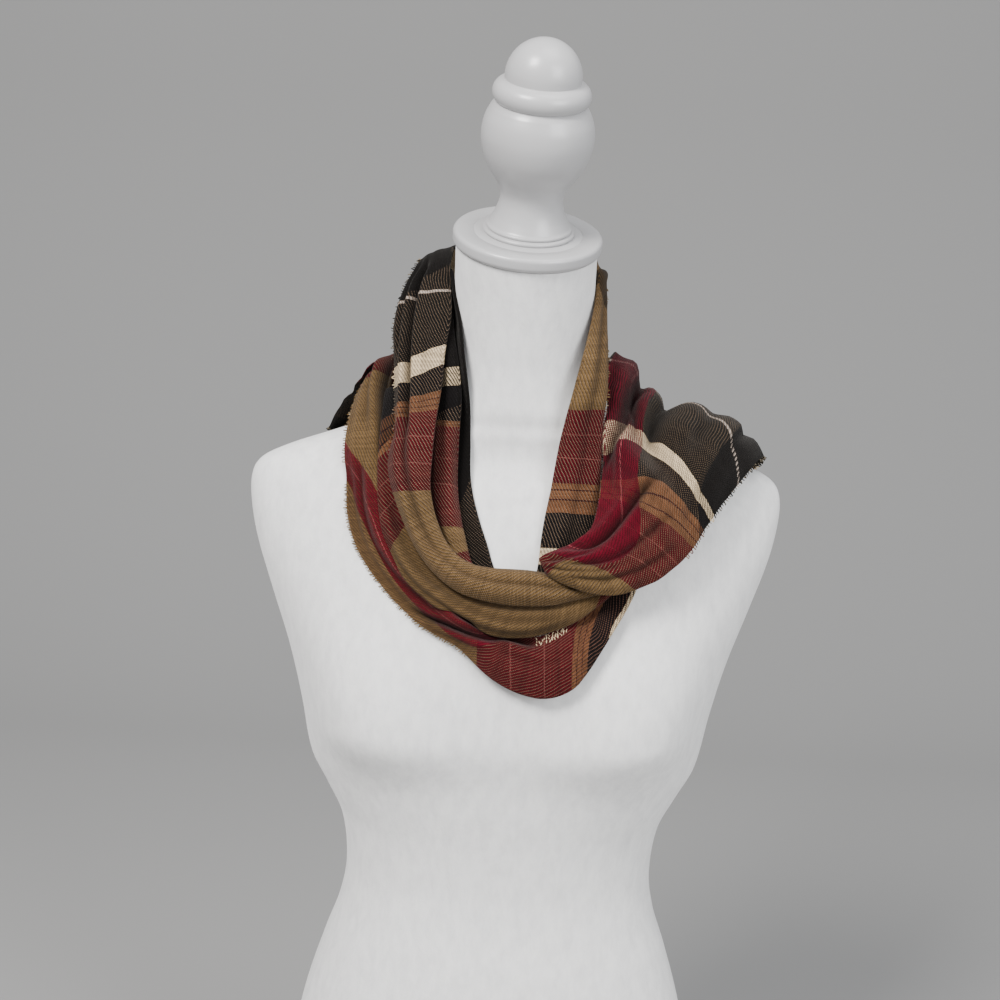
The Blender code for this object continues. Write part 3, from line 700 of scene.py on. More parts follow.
BACK_HIGH = (
    (57.5, -6, 879, 64, 10, 872, 3, -50, 0, -50, 82, 101, 1.5, 0),
    (53, 12, 887, 67, 36, 856, 4, -68, 0, -66, 70, 98, 1.5, 0),
    (40, 28, 889, 63, 68, 832, 6, -92, 0, -88, 60, 94, 1.5, 0),
    (20, 38, 888, 38, 96, 796, 8, -118, 0, -114, 50, 92, 1.5, 0),
    (0, 41, 887, 2, 104, 782, 8, -142, 0, -140, 48, 92, 1.5, 0),
    (-20, 38, 888, -36, 96, 794, 8, -164, 0, -164, 50, 92, 1.5, 0),
    (-42, 28, 890, -68, 70, 832, 6, -186, 0, -188, 58, 94, 1.5, 0),
    (-56, 14, 891, -80, 44, 864, 4, -203, 0, -205, 82, 101, 1.5, 0),
)
LEFT_FALL = (
    (-59, -2, 888, -85, 22, 878, 3, -214, 0, -216, 82, 101, 1.5, 0),
    (-59, -20, 877, -87, 2, 875, 3, -227, 0, -226, 82, 101, 1.5, 0),
    (-58, -34, 858, -96, -10, 855, 5, -247, 0, -238, 62, 92, 1.5, 0),
    (-57, -46, 838, -102, -21, 833, 6, -270, 2, -257, 46, 74, 1.5, 0),
    (-60, -58, 813, -102, -34, 808, 7, -296, 3, -281, 44, 72, 1.5, 0),
    (-61, -68, 787, -99, -46, 778, 8, -322, 3, -309, 42, 70, 1.5, 0),
    (-64, -77, 761, -97, -58, 750, 8, -356, 0, -353, 42, 70, 1.5, 0),
    (-65, -86, 736, -99, -72, 727, 8, -384, 0, -386, 42, 70, 1.5, 1),
    (-65, -93, 710, -91, -86, 702, 8, -414, 0, -418, 42, 66, 1.5, 1.5),
    (-58, -96, 684, -77, -94, 671, 7, -442, 0, -444, 42, 62, 1.5, 1.5),
    (-46, -103, 665, -57, -105, 648, 7, -468, 0, -470, 42, 62, 1.5, 1.5),
    (-28, -107, 655, -37, -112, 636, 8, -490, 0, -494, 42, 62, 1.5, 1.5),
    (-9, -107, 654, -11, -114, 630, 9, -512, 0, -516, 42, 64, 1.5, 1.5),
    (12, -106, 654, 13, -114, 629, 9, -532, 0, -536, 42, 64, 1.5, 1.5),
    (33, -105, 651, 35, -112, 631, 8, -549, 0, -552, 42, 62, 1.5, 1.5),
    (54, -101, 647, 56, -107, 636, 6, -562, 0, -564, 42, 60, 1.5, 1.5),
    (72, -95, 648, 75, -101, 640, 3, -572, 0, -574, 42, 60, 1.5, 1.5),
)
# Its first two rows lie in the black band over the dark warp: dark cloth that also stands in for painted
# shade in the hollow between the left fall and the left outer pass.
FRONT_ROLL_LOWER = (
    (-91, -36, 782, -106, -26, 778, 1, 184, 0, 186, 84, 100, 0, 1.5),
    (-90, -50, 753, -107, -43, 749, 2, 160, 0, 164, 84, 100, 0, 1.5),
    (-90, -59, 727, -107, -58, 719, 3, 136, 0, 144, 50, 72, 0, 1.5),
    (-85, -72, 698, -104, -73, 691, 4, 98, 0, 110, 30, 58, 0, 1.5),
    (-73, -86, 671, -96, -84, 663, 5, 68, 0, 84, 36, 60, 0, 1.5),
    (-56, -93, 650, -82, -94, 641, 6, 44, 0, 52, 40, 62, 0, 1.5),
    (-35, -98, 638, -59, -103, 624, 7, 18, 0, 24, 40, 66, 0, 1.5),
    (-14, -101, 631, -32, -108, 609, 8, -6, 0, -2, 40, 68, 0, 1.5),
    (7, -102, 630, -6, -112, 602, 8, -28, 0, -26, 40, 70, 0, 1.5),
    (29, -101, 632, 23, -111, 605, 7, -48, 0, -48, 40, 68, 0, 1.5),
    (49, -99, 636, 46, -107, 614, 5, -64, 0, -66, 40, 62, 0, 1.5),
    (66, -95, 641, 65, -102, 626, 3, -76, 0, -80, 40, 56, 0, 1.5),
    (80, -88, 647, 80, -93, 636, 1, -90, 0, -94, 40, 54, 0, 1.5),
)
RIGHT_FLARE = (
    (20, -109, 664, 26, -114, 653, 4, 100, 0, 82, 34, 62, 1.5, 1.5),
    (32, -108, 671, 48, -117, 645, 7, 92, 0, 55, 26, 58, 1.5, 1.5),
    (46, -103, 676, 71, -116, 641, 9, 100, 0, 60, 12, 52, 1.5, 1),
    (59, -94, 686, 94, -112, 644, 10, 118, 0, 80, 3, 50, 1.5, 0.5),
    (65, -80, 706, 115, -106, 653, 12, 148, -4, 104, 0, 52, 1.5, 0),
    (66, -64, 733, 134, -99, 670, 14, 184, -8, 142, 0, 70, 1.5, 0),
    (66.2, -50, 764, 146, -92, 688, 14, 204, -14, 170, 0, 88, 1.5, 0),
    (66.6, -34, 789, 159, -82, 706, 14, 228, -26, 228, 0, 98, 1.5, 0),
    (70.5, -14, 808, 174, -66, 722, 13, 246, -24, 250, 0, 101, 1.5, 0),
)
BACK_LOW = (
    (76, 10, 813, 190, -44, 736, 14, 260, -18, 266, 0, 101, 1.5, 0),
    (76, 34, 808, 200, -10, 735, 12, 274, -8, 280, 2, 101, 1.5, 0),
    (66, 54, 802, 196, 34, 716, 9, 292, 0, 296, 6, 100, 1.5, 0),
    (42, 68, 799, 160, 78, 688, 8, 312, 0, 314, 12, 98, 1.5, 0),
    (12, 74, 798, 96, 106, 664, 10, 330, 0, 332, 20, 92, 1.5, 0),
    (-22, 74, 798, 22, 116, 652, 10, 346, 0, 350, 28, 84, 1.5, 0),
    (-54, 66, 800, -52, 114, 662, 9, 362, 0, 366, 38, 70, 1.5, 0),
    (-80, 48, 803, -102, 94, 696, 8, 374, 0, 380, 48, 54, 1.5, 0),
)
LEFT_OUTER = (
    (-95, 26, 806, -120, 54, 756, 5, 384, 0, 394, 60, 34, 1, 0.5),
    (-103, 6, 802, -126, 18, 778, 4, 402, 0, 410, 68, 36, 1, 1),
    (-103, -14, 783, -131, -4, 768, 4, 422, 0, 420, 76, 42, 0, 1.5),
    (-99, -32, 758, -134, -21, 753, 5, 432, 0, 428, 78, 38, 0, 1.5),
    (-97, -46, 736, -135, -38, 733, 5, 442, 0, 437, 74, 28, 0, 1.5),
    (-94, -58, 712, -133, -50, 709, 5, 452, 0, 446, 54, 2, 0, 1),
    (-89, -70, 690, -133, -59, 684, 5, 466, 0, 458, 42, -14, 0, 0),
    (-81, -80, 667, -124, -69, 659, 4, 484, 0, 478, 44, -26, 0, 0),
    (-67, -87, 649, -108, -80, 637, 4, 506, 0, 494, 48, -26, 0, 0),
    (-49, -93, 634, -88, -91, 618, 4, 528, 0, 514, 44, -20, 0, 0),
    (-32, -98, 622, -64, -104, 602, 4, 552, 0, 536, 40, -12, 0, 0),
    (-15, -101, 610, -35, -110, 588, 5, 580, 0, 564, 26, -10, 0, 0.5),
    (-1, -103, 609, -13, -116, 573, 5, 595, 0, 584, 4, -22, 0, 1.5),
    (15, -104, 604, 8, -119, 563, 6, 609, 0, 601, -4, -30, 0, 1.5),
    (30, -103, 606, 30, -121, 560, 6, 622, 0, 620, -5, -32, 0, 1.5),
    (43, -100, 615, 50, -121, 568, 6, 634, 0, 644, -6, -34, 0, 1.5),
    (54, -97, 623, 65, -115, 587, 5, 646, 0, 670, -4, -24, 0, 1.5),
    (61, -94, 631, 78, -108, 609, 4, 654, 0, 684, -8, -30, 0, 1.5),
    (68, -91, 640, 90, -99, 629, 3, 660, 0, 684.3, -10, -36, 0, 1.5),
    (76, -87, 652, 98, -92, 648, 2, 664, 0, 684.5, -10, -40, 0, 1.5),
)
LEFT_TIP = (
    (-106, 86, 756, -114, 98, 722, 1, 212, 0, 216, 20, 96, 0, 0),
    (-112, 66, 776, -132, 74, 720, 2, 216, 0, 222, 14, 96, 0, 0),
    (-116, 44, 791, -148, 48, 728, 2, 222, 0, 230, 10, 98, 0, 0),
    (-119, 28, 795, -155, 26, 735, 2, 228, 0, 236, 8, 98, 0, 0),
    (-123, 16, 791, -155, 8, 739, 2, 232, 0, 240, 8, 98, 0, 0),
)

# Creases pressed into the cloth: each runs lengthwise and drifts from one share of the width
# to another, with its depth, half width and the stretch of the pass that it lies on, in millimetres.
# A crease's depth also paints shade into the cloth's colour, darker the narrower and deeper the crease. Some
# creases are there mostly for that painted shade.
CREASE_COLUMNS = ("from_across", "to_across", "depth", "width", "starts", "ends")
UPPER_CREASES = (
    (0.62, 0.55, 2.2, 4.6, 30, 275),
    (0.26, 0.32, 0.8, 3.4, 60, 200),
    (0.80, 0.74, 0.6, 2.8, 90, 230),
    (0.30, 0.36, 4.0, 6.0, 285, 470),
    (0.58, 0.66, 4.0, 7.0, 300, 480),
    (0.84, 0.86, 2.5, 4.0, 320, 460),
    (0.68, 0.58, 7.5, 3.0, 538, 690),
    (0.90, 0.82, 2.4, 2.2, 530, 640),
    (0.30, 0.22, 1.2, 2.6, 590, 690),
    (0.62, 0.36, 3.2, 3.6, 660, 800),
    (0.24, 0.52, 2.6, 3.4, 775, 925),
)
LOWER_CREASES = (
    (0.34, 0.38, 24.0, 32.0, 122, 350),
    (0.00, 0.24, 8.0, 4.0, 92, 205),
    (0.06, 0.58, 6.0, 3.4, 22, 140),
    (0.34, 0.78, 3.4, 2.8, 4, 125),
    (0.52, 0.66, 2.2, 2.0, -10, 70),
    (0.70, 0.92, 2.4, 2.6, 6, 110),
    (0.20, 0.30, 2.6, 2.2, -10, 60),
    (0.10, 0.16, 3.0, 3.0, 90, 170),
    (0.20, 0.20, 9.0, 6.0, 138, 330),
    (0.40, 0.44, 7.0, 6.0, 142, 350),
    (0.68, 0.60, 4.0, 7.0, 160, 360),
    (0.86, 0.84, 2.5, 4.0, 110, 300),
    (0.25, 0.30, 7.0, 8.0, 300, 510),
    (0.50, 0.46, 7.0, 9.0, 330, 540),
    (0.78, 0.70, 5.0, 8.0, 260, 520),
    (0.91, 0.88, 3.0, 5.0, 280, 460),
    (0.10, 0.08, 9.0, 4.5, 585, 712),
    (0.62, 0.56, 2.0, 3.0, 560, 680),
    (0.66, 0.48, 3.0, 3.0, 690, 855),
    (0.12, 0.24, 5.0, 3.2, 780, 885),
    (0.92, 0.06, 7.0, 3.0, 818, 905),
    (0.07, 0.10, 6.0, 3.6, 850, 930),
    (0.02, 0.02, 6.0, 4.0, 820, 895),
    (0.88, 0.88, 4.0, 8.0, 690, 890),
    (0.44, 0.52, 1.2, 3.5, 880, 965),
    (0.30, 0.30, 6.0, 16.0, 948, 1060),
)
ROLL_CREASES = (
    (0.16, 0.20, 1.8, 5.0, 100, 285),
    (0.42, 0.56, 2.8, 4.0, 85, 280),
    (0.93, 0.92, 2.6, 5.0, 110, 290),
)
INNER_CREASES = (
    (0.30, 0.28, -3.0, 5.0, 30, 235),
    (0.88, 0.86, 3.0, 3.0, 10, 255),
    (0.02, 0.02, 2.0, 2.5, 10, 200),
)
NECK_CREASES = ((0.4, 0.4, 3.0, 7.0, 10, 262),)
TIP_CREASES = (
    (0.50, 0.40, 3.0, 5.0, -20, 110),
    (0.24, 0.20, 2.0, 4.0, -20, 110),
)
CREASE_FADE = 26
CREASE_LIP = 0.3
LIP_ASIDE = 2.1
PAINTED_SHADE_SCALE = 6.0
BROAD_CREASE = 12.0
DRAPE_LONG = 60
DRAPE_SHORT = 11
DRAPE_DEPTH = 1.3
RUMPLE_LENGTH = 17
RUMPLE_DEPTH = 0.35

# Cloth that rests on a layer is lifted clear of it, less the further aside of that layer it lies.
LAYER_REACH = 40
BESIDE = 9
ASIDE_SLOPE = 0.6
SOFTENINGS = 3


def smooth_step(value):
    """0 below 0 and 1 above 1, with an eased rise between."""
    value = min(max(value, 0.0), 1.0)
    return value * value * (3 - 2 * value)


def beside_it(values, r, c):
    """The values of the grid points next to one."""
    return [values[n] for n in ((r - 1, c), (r + 1, c), (r, c - 1), (r, c + 1)) if n in values]


def keep_vectors(mesh, name, vectors):
    """Keeps one vector for each point of a mesh, for its material or node tree to read."""
    attribute = mesh.attributes.new(name, "FLOAT_VECTOR", "POINT")
    attribute.data.foreach_set("vector", [number for vector in vectors for number in vector])


class Strip:
    """A pass of the scarf: a grid of points on the middle of the cloth, rows along it, columns across."""

    def __init__(self, stretches, columns, creases, seed, warp_shift=0):
        rows = []
        owners = []
        for name, table in stretches:
            owners += [name] * len(table)
            rows += table
        middles = [Vector(row[0:3]).lerp(Vector(row[3:6]), 0.5) for row in rows]
        run = [0.0]
        for low, high in zip(middles, middles[1:]):
            run.append(run[-1] + (high - low).length)
        self.keyed = [(run[i], *rows[i]) for i in range(len(rows))]
        self.names = [name for name, table in stretches]
        self.ends = dict(zip(owners, run))
        self.creases = [dict(zip(CREASE_COLUMNS, crease)) for crease in creases]
        self.seed = seed
        self.warp_shift = warp_shift
        self.columns = columns
        self.read_rows(round(run[-1] / ROWS_APART))
        self.grid = []
        for row in self.rows:
            inner = Vector((row["inner_x"], row["inner_y"], row["inner_z"]))
            outer = Vector((row["outer_x"], row["outer_y"], row["outer_z"]))
            over = (outer - inner).normalized()
            inner += over * (CUT_BACK * max(0.0, 1 - row["fold_in"]))
            outer -= over * (CUT_BACK * max(0.0, 1 - row["fold_out"]))
            self.grid.append([inner.lerp(outer, c / (columns - 1)) for c in range(columns)])
        self.raise_by(lambda r, c: self.rows[r]["crown"] * (1 - abs(2 * c / (columns - 1) - 1) ** 2.2))

    def read_rows(self, count):
        """Reads the table at evenly spaced places along the pass."""
        self.rows = [
            read_at(self.keyed, ("run", *ROW_COLUMNS), self.keyed[-1][0] * step / count)
            for step in range(count + 1)
        ]

    def outward(self, r, c):
        """The direction out of the cloth's face at one grid point."""
        along = self.grid[min(r + 1, len(self.grid) - 1)][c] - self.grid[max(r - 1, 0)][c]
        over = self.grid[r][min(c + 1, self.columns - 1)] - self.grid[r][max(c - 1, 0)]
        return over.cross(along).normalized()

    def raise_by(self, height_at):
        """Moves every point out of the cloth's face by the height given for it."""
        out = [[self.outward(r, c) for c in range(self.columns)] for r in range(len(self.grid))]
        for r, row in enumerate(self.grid):
            self.grid[r] = [point + out[r][c] * height_at(r, c) for c, point in enumerate(row)]

    def refine(self):
        """Puts more rows and columns on the same smooth surface, then presses in the creases."""
        wide = [eased(row, FINER) for row in self.grid]
        long = [eased([row[c] for row in wide], FINER) for c in range(len(wide[0]))]
        self.grid = [[column[r] for column in long] for r in range(len(long[0]))]
        self.columns = len(self.grid[0])
        self.read_rows(len(self.grid) - 1)
        self.painted_crease_shades = {}
        self.raise_by(self.drape)

    def drape(self, r, c):
        """How far the creases and the cloth's own unevenness lift or sink one point; it also keeps the
        painted shade that the creases lay on it.
        """
        run = self.rows[r]["run"]
        width = (self.grid[r][-1] - self.grid[r][0]).length
        across = c / (self.columns - 1)
        lift = 0.0
        painted_crease_shade = 0.0
        for crease in self.creases:
            part = (run - crease["starts"]) / (crease["ends"] - crease["starts"])
            if not 0 < part < 1:
                continue
            fade = smooth_step((run - crease["starts"]) / CREASE_FADE)
            fade *= smooth_step((crease["ends"] - run) / CREASE_FADE)
            middle = crease["from_across"] + (crease["to_across"] - crease["from_across"]) * part
            aside = (across - middle) * width / crease["width"]
            lift -= crease["depth"] * fade * math.exp(-(aside**2))
            if crease["width"] < BROAD_CREASE:
                lip = CREASE_LIP * max(crease["depth"], 0) * fade
                lift += lip * math.exp(-((abs(aside) - LIP_ASIDE) ** 2))
            # Painted shade: the deeper and narrower a crease is, the darker its bottom is painted.
            shade = crease["depth"] * PAINTED_SHADE_SCALE / max(crease["width"], PAINTED_SHADE_SCALE) ** 2
            painted_crease_shade += shade * fade * math.exp(-(aside**2))
        lift += DRAPE_DEPTH * noise.noise((across * width / DRAPE_SHORT, run / DRAPE_LONG, self.seed))
        lift += RUMPLE_DEPTH * noise.noise(
            (across * width / RUMPLE_LENGTH * 2, run / RUMPLE_LENGTH, self.seed + 50)
        )
        self.painted_crease_shades[r, c] = min(max(painted_crease_shade, 0.0), 1.0)
        return lift

    def rows_of(self, name):
        """First and last grid row of a stretch."""
        index = self.names.index(name)
        start = self.ends[self.names[index - 1]] if index else -1.0
        own = [r for r, row in enumerate(self.rows) if start < row["run"] <= self.ends[name] + 0.01]
        return max(own[0] - 1, 0), own[-1]

    def tree(self, name):
        """A search tree over one stretch, with its faces turned outward."""
        first, last = self.rows_of(name)
        points = [point for row in self.grid[first : last + 1] for point in row]
        w = self.columns
        faces = [
            (r * w + c, r * w + c + 1, (r + 1) * w + c + 1, (r + 1) * w + c)
            for r in range(last - first)
            for c in range(w - 1)
        ]
        return BVHTree.FromPolygons(points, faces)

    def doubled(self, r, c):
        """How much thicker the cloth is behind, where its edge is folded under."""
        width = (self.grid[r][-1] - self.grid[r][0]).length
        across = c / (self.columns - 1)
        row = self.rows[r]
        inner = max(row["fold_in"], 0) * math.exp(-((across * width / FOLD_REACH) ** 2))
        outer = max(row["fold_out"], 0) * math.exp(-(((1 - across) * width / FOLD_REACH) ** 2))
        return inner + outer

    def rest(self, name, form, layers, turns):
        """Moves one stretch clear of the form and of the layers of cloth beneath it."""
        first, last = self.rows_of(name)
        trees = [strip.tree(layer) for strip, layer in layers]
        laid = {(r, c): self.grid[r][c] for r in range(first, last + 1) for c in range(self.columns)}
        for turn in range(turns):
            moves = {}
            for r in range(first, last + 1):
                for c in range(self.columns):
                    point = self.grid[r][c]
                    move = Vector()
                    below = WALL / 2 + self.doubled(r, c) + GAP
                    spot, facing, index, distance = form.find_nearest(point)
                    height = (point - spot).dot(facing)
                    if height < below:
                        move = facing * (below - height)
                    for tree in trees:
                        spot, facing, index, distance = tree.find_nearest(point, LAYER_REACH)
                        if spot is None:
                            continue
                        height = (point - spot).dot(facing)
                        aside = math.sqrt(max(distance**2 - height**2, 0.0))
                        if aside > BESIDE:
                            continue
                        reach = WALL / 2 + below - aside * ASIDE_SLOPE
                        if height < reach and reach - height > move.length:
                            move = facing * (reach - height)
                    moves[r, c] = move
            for (r, c), move in moves.items():
                near = beside_it(moves, r, c)
                spread = sum(near, Vector()) / max(len(near), 1)
                self.grid[r][c] = self.grid[r][c] + (move if move.length > spread.length else spread)
        lifts = {(r, c): self.grid[r][c] - point for (r, c), point in laid.items()}
        for turn in range(SOFTENINGS):
            even = {}
            for (r, c), lift in lifts.items():
                near = beside_it(lifts, r, c)
                even[r, c] = (lift * 2 + sum(near, Vector())) / (2 + len(near))
            lifts = even
        for (r, c), point in laid.items():
            self.grid[r][c] = point + lifts[r, c]

    def sett_and_painted_shade_at(self, r, c):
        """Which bands of the plaid cross at a point: the weft's place and the warp's, in millimetres, and the
        painted crease shade there.
        """
        row = self.rows[r]
        across = min(max(c / (self.columns - 1), 0.0), 1.0)
        weft = row["weft_in"] + (row["weft_out"] - row["weft_in"]) * across
        weft += row["weft_bow"] * (1 - (2 * across - 1) ** 2)
        warp = row["warp_in"] + (row["warp_out"] - row["warp_in"]) * across + self.warp_shift
        return weft, warp, self.painted_crease_shades[r, c]

    def build(self, name, *nodes):
        """Closes the cloth round both faces and both edges, and hands it over as one piece."""
        points, setts_and_painted_shades, weaves = [], [], []
        last = self.columns - 1
        for r, row in enumerate(self.grid):
            ease = min(r, len(self.grid) - 1 - r) / END_ROWS
            thick = math.sqrt(min(1.0, END_THIN + ease))
            ring = []
            for c in range(self.columns):
                out = self.outward(r, c)
                ring.append((row[c] + out * (WALL / 2 * thick), c, 0.0))
            for side in (last, 0):
                out = self.outward(r, side)
                beside = (row[side] - row[side - 1 if side else 1]).normalized()
                high = row[side] + out * (WALL / 2 * thick)
                low = row[side] - out * ((WALL / 2 + self.doubled(r, side)) * thick)
                radius = (high - low).length / 2
                bow = []
                for step in range(1, EDGE_STEPS):
                    turn = math.pi * step / EDGE_STEPS
                    spot = high.lerp(low, (1 - math.cos(turn)) / 2)
                    bow.append((spot + beside * (radius * math.sin(turn)), side, radius * turn))
                if side:
                    ring += bow
                    for c in range(last, -1, -1):
                        out = self.outward(r, c)
                        depth = (WALL / 2 + self.doubled(r, c)) * thick
                        ring.append((row[c] - out * depth, c, 0.0))
                else:
                    ring += list(reversed(bow))
            walked = [0.0]
            for c in range(last):
                walked.append(walked[-1] + (row[c + 1] - row[c]).length)
            level = max(0.0, LEVEL_BELOW - (row[0].z + row[last].z) / 2)
            for spot, c, round_edge in ring:
                points.append(spot * MM)
                setts_and_painted_shades.append(self.sett_and_painted_shade_at(r, c))
                across = walked[c] - walked[-1] / 2 + round_edge + level
                weaves.append((WEAVE_START + across, WEAVE_START + self.rows[r]["run"], 0.0))
        around = len(points) // len(self.grid)
        faces = []
        for r in range(len(self.grid) - 1):
            for i in range(around):
                j = (i + 1) % around
                a, b = r * around + i, r * around + j
                faces.append((a, b, b + around, a + around))
        faces.append(tuple(reversed(range(around))))
        faces.append(tuple(len(points) - around + i for i in range(around)))
        data = bpy.data.meshes.new(name)
        data.from_pydata(points, [], faces)
        keep_vectors(data, "sett_and_painted_shade", setts_and_painted_shades)
        keep_vectors(data, "weave", weaves)
        piece = add_piece(name, data, cloth)
        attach(piece, "root")
        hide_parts(*nodes)
        return piece


form_points = [vertex.co / MM for vertex in torso_mesh.vertices]
form_tree = BVHTree.FromPolygons(form_points, [tuple(face.vertices) for face in torso_mesh.polygons])

# The upper pass and the strips beside the neck show a paler part of the warp, further across the strip.
PALE_WARP = 110
FIRST_TURNS = 6
LAST_TURNS = 5
upper_pass = Strip(
    (("right_fall", RIGHT_FALL), ("back_wrap_high", BACK_HIGH), ("left_fall", LEFT_FALL)),
    9, UPPER_CREASES, 1, PALE_WARP,
)
lower_pass = Strip(
    (("right_flare", RIGHT_FLARE), ("back_wrap_low", BACK_LOW), ("left_outer", LEFT_OUTER)),
    11, LOWER_CREASES, 2,
)
front_roll = Strip((("front_roll_lower", FRONT_ROLL_LOWER),), 8, ROLL_CREASES, 3)
inner_left = Strip((("inner_left", INNER_LEFT),), 6, INNER_CREASES, 4, PALE_WARP)
neck_left = Strip((("neck_left_dark", NECK_LEFT),), 6, NECK_CREASES, 5, PALE_WARP)
left_tip = Strip((("left_tip", LEFT_TIP),), 5, TIP_CREASES, 6)

# The order in which the stretches are laid on the form, each with the layers that lie under it.
BY_NECK = (neck_left, "neck_left_dark")
INNER = (inner_left, "inner_left")
RIGHT = (upper_pass, "right_fall")
LEFT = (upper_pass, "left_fall")
OUTER = (lower_pass, "left_outer")
LOW_BACK = (lower_pass, "back_wrap_low")
ROLL = (front_roll, "front_roll_lower")
RESTING_ORDER = (
    (BY_NECK, ()),
    (INNER, (BY_NECK,)),
    (RIGHT, (BY_NECK, INNER)),
    (LOW_BACK, ()),
    ((upper_pass, "back_wrap_high"), (LOW_BACK,)),
    (OUTER, (BY_NECK, INNER, RIGHT)),
    ((left_tip, "left_tip"), (LOW_BACK, OUTER)),
    (ROLL, (BY_NECK, INNER, OUTER, RIGHT)),
    (LEFT, (BY_NECK, INNER, OUTER, ROLL)),
    ((lower_pass, "right_flare"), (RIGHT, LEFT, ROLL)),
)
for (strip, name), layers in RESTING_ORDER:
    strip.rest(name, form_tree, layers, FIRST_TURNS)
for strip in (neck_left, inner_left, upper_pass, lower_pass, left_tip, front_roll):
    strip.refine()
for (strip, name), layers in RESTING_ORDER:
    strip.rest(name, form_tree, layers, LAST_TURNS)

neck_piece = neck_left.build("cloth_neck_left", "neck_left_dark")
inner_piece = inner_left.build("cloth_inner_left", "inner_left")
upper_piece = upper_pass.build("cloth_upper_pass", "right_fall", "back_wrap_high", "left_fall")
lower_piece = lower_pass.build("cloth_lower_pass", "right_flare", "back_wrap_low", "left_outer")
roll_piece = front_roll.build("cloth_front_roll", "front_roll_lower")
tip_piece = left_tip.build("cloth_left_tip", "left_tip")

# The loop's long edges are cut, not hemmed: short ends of the weft stand out of them, two or three
# millimetres long, frayed and pressed every way. They take the colour of the band they come from. A
# tuft of white ones, a few short rows of the cream band, shows at the lower roll.
YARN_SPACING = 2.3
YARN_LENGTH = 3.4
YARN_THICK = 0.62
YARN_TAPER = 0.7
YARN_BOW = 0.3
YARN_FRAY = 0.16
YARN_SEED = 11
EDGE_INSET = 0.4
EDGE_LIFT = 0.3
CREAM_WEFT = 195
FRAYED_EDGES = (
    (lower_pass, 1.0, 100, 700, None),
    (lower_pass, 1.0, 715, 872, None),
    (lower_pass, 0.0, 862, 985, None),
    (upper_pass, 1.0, 40, 700, None),
    (left_tip, 1.0, 0, 92, None),
    *((lower_pass, 0.05 + 0.025 * row, 912 + row * 1.7, 948, CREAM_WEFT) for row in range(5)),
)

yarn_tree = bpy.data.node_groups.new("yarn_ends", "GeometryNodeTree")
interface = yarn_tree.interface
for socket_name, socket_kind in (
    ("Edge", "NodeSocketGeometry"),
    ("Spacing", "NodeSocketFloat"),
    ("Length", "NodeSocketFloat"),
    ("Thickness", "NodeSocketFloat"),
    ("Seed", "NodeSocketInt"),
    ("Material", "NodeSocketMaterial"),
):
    interface.new_socket(socket_name, in_out="INPUT", socket_type=socket_kind)
interface.new_socket("Yarns", in_out="OUTPUT", socket_type="NodeSocketGeometry")
given = add_node(yarn_tree, "NodeGroupInput").outputs


def yarn_node(kind, inputs=None, **settings):
    """A node in the yarns' own tree."""
    return add_node(yarn_tree, kind, inputs, **settings)


def yarn_math(operation, first, second):
    """A math node's value in the yarns' own tree."""
    return add_math(yarn_tree, operation, first, second)


def random_between(low, high, salt):
    """A random value or vector for each yarn, from the group's seed."""
    vector = isinstance(low, tuple)
    first = 0 if vector else 2
    inputs = {first: low, first + 1: high, "Seed": yarn_math("ADD", given["Seed"], salt)}
    kind = "FLOAT_VECTOR" if vector else "FLOAT"
    return yarn_node("FunctionNodeRandomValue", inputs, data_type=kind).outputs[0 if vector else 1]


edge_line = yarn_node("GeometryNodeMeshToCurve", {"Mesh": given["Edge"]})
roots = yarn_node(
    "GeometryNodeResampleCurve",
    {"Curve": edge_line.outputs["Curve"], "Length": given["Spacing"]},
    mode="LENGTH",
)
yarn = yarn_node(
    "GeometryNodeMeshCone",
    {
        "Vertices": 5,
        "Side Segments": 4,
        "Radius Bottom": given["Thickness"],
        "Radius Top": yarn_math("MULTIPLY", given["Thickness"], YARN_TAPER),
        "Depth": given["Length"],
    },
)

# Each stub bows to one side, more towards its tip.
stub_place = yarn_node("GeometryNodeInputPosition").outputs["Position"]
stub_height = yarn_node("ShaderNodeSeparateXYZ", {"Vector": stub_place}).outputs["Z"]
reach = yarn_math("DIVIDE", stub_height, given["Length"])
bow = yarn_math("MULTIPLY", yarn_math("MULTIPLY", reach, reach), given["Length"])
bow_offset = yarn_node("ShaderNodeCombineXYZ", {"X": yarn_math("MULTIPLY", bow, YARN_BOW)})
bent = yarn_node(
    "GeometryNodeSetPosition",
    {"Geometry": yarn.outputs["Mesh"], "Offset": bow_offset.outputs["Vector"]},
)

# The stubs stand out of the edge, a little astray and each turned its own way.
out_of_edge = yarn_node("GeometryNodeInputNamedAttribute", {"Name": "out_of_edge"}, data_type="FLOAT_VECTOR")
astray = random_between((-YARN_FRAY,) * 3, (YARN_FRAY,) * 3, 1)
frayed = yarn_node("ShaderNodeVectorMath", {0: out_of_edge.outputs[0], 1: astray}, operation="ADD")
facing = yarn_node("FunctionNodeAlignRotationToVector", {"Vector": frayed.outputs["Vector"]}, axis="Z")
spin_angle = yarn_node("ShaderNodeCombineXYZ", {"Z": random_between(0.0, 6.28, 2)})
spin_turn = yarn_node("FunctionNodeEulerToRotation", {"Euler": spin_angle.outputs["Vector"]})
spin = yarn_node(
    "FunctionNodeRotateRotation",
    {"Rotation": facing.outputs["Rotation"], "Rotate By": spin_turn.outputs["Rotation"]},
    rotation_space="LOCAL",
)
planted = yarn_node(
    "GeometryNodeInstanceOnPoints",
    {
        "Points": roots.outputs["Curve"],
        "Instance": bent.outputs["Geometry"],
        "Rotation": spin.outputs["Rotation"],
        "Scale": random_between(0.75, 1.05, 3),
    },
)
whole = yarn_node("GeometryNodeRealizeInstances", {"Geometry": planted.outputs["Instances"]})
painted = yarn_node(
    "GeometryNodeSetMaterial",
    {"Geometry": whole.outputs["Geometry"], "Material": given["Material"]},
)
yarn_node("NodeGroupOutput", {"Yarns": painted.outputs["Geometry"]})

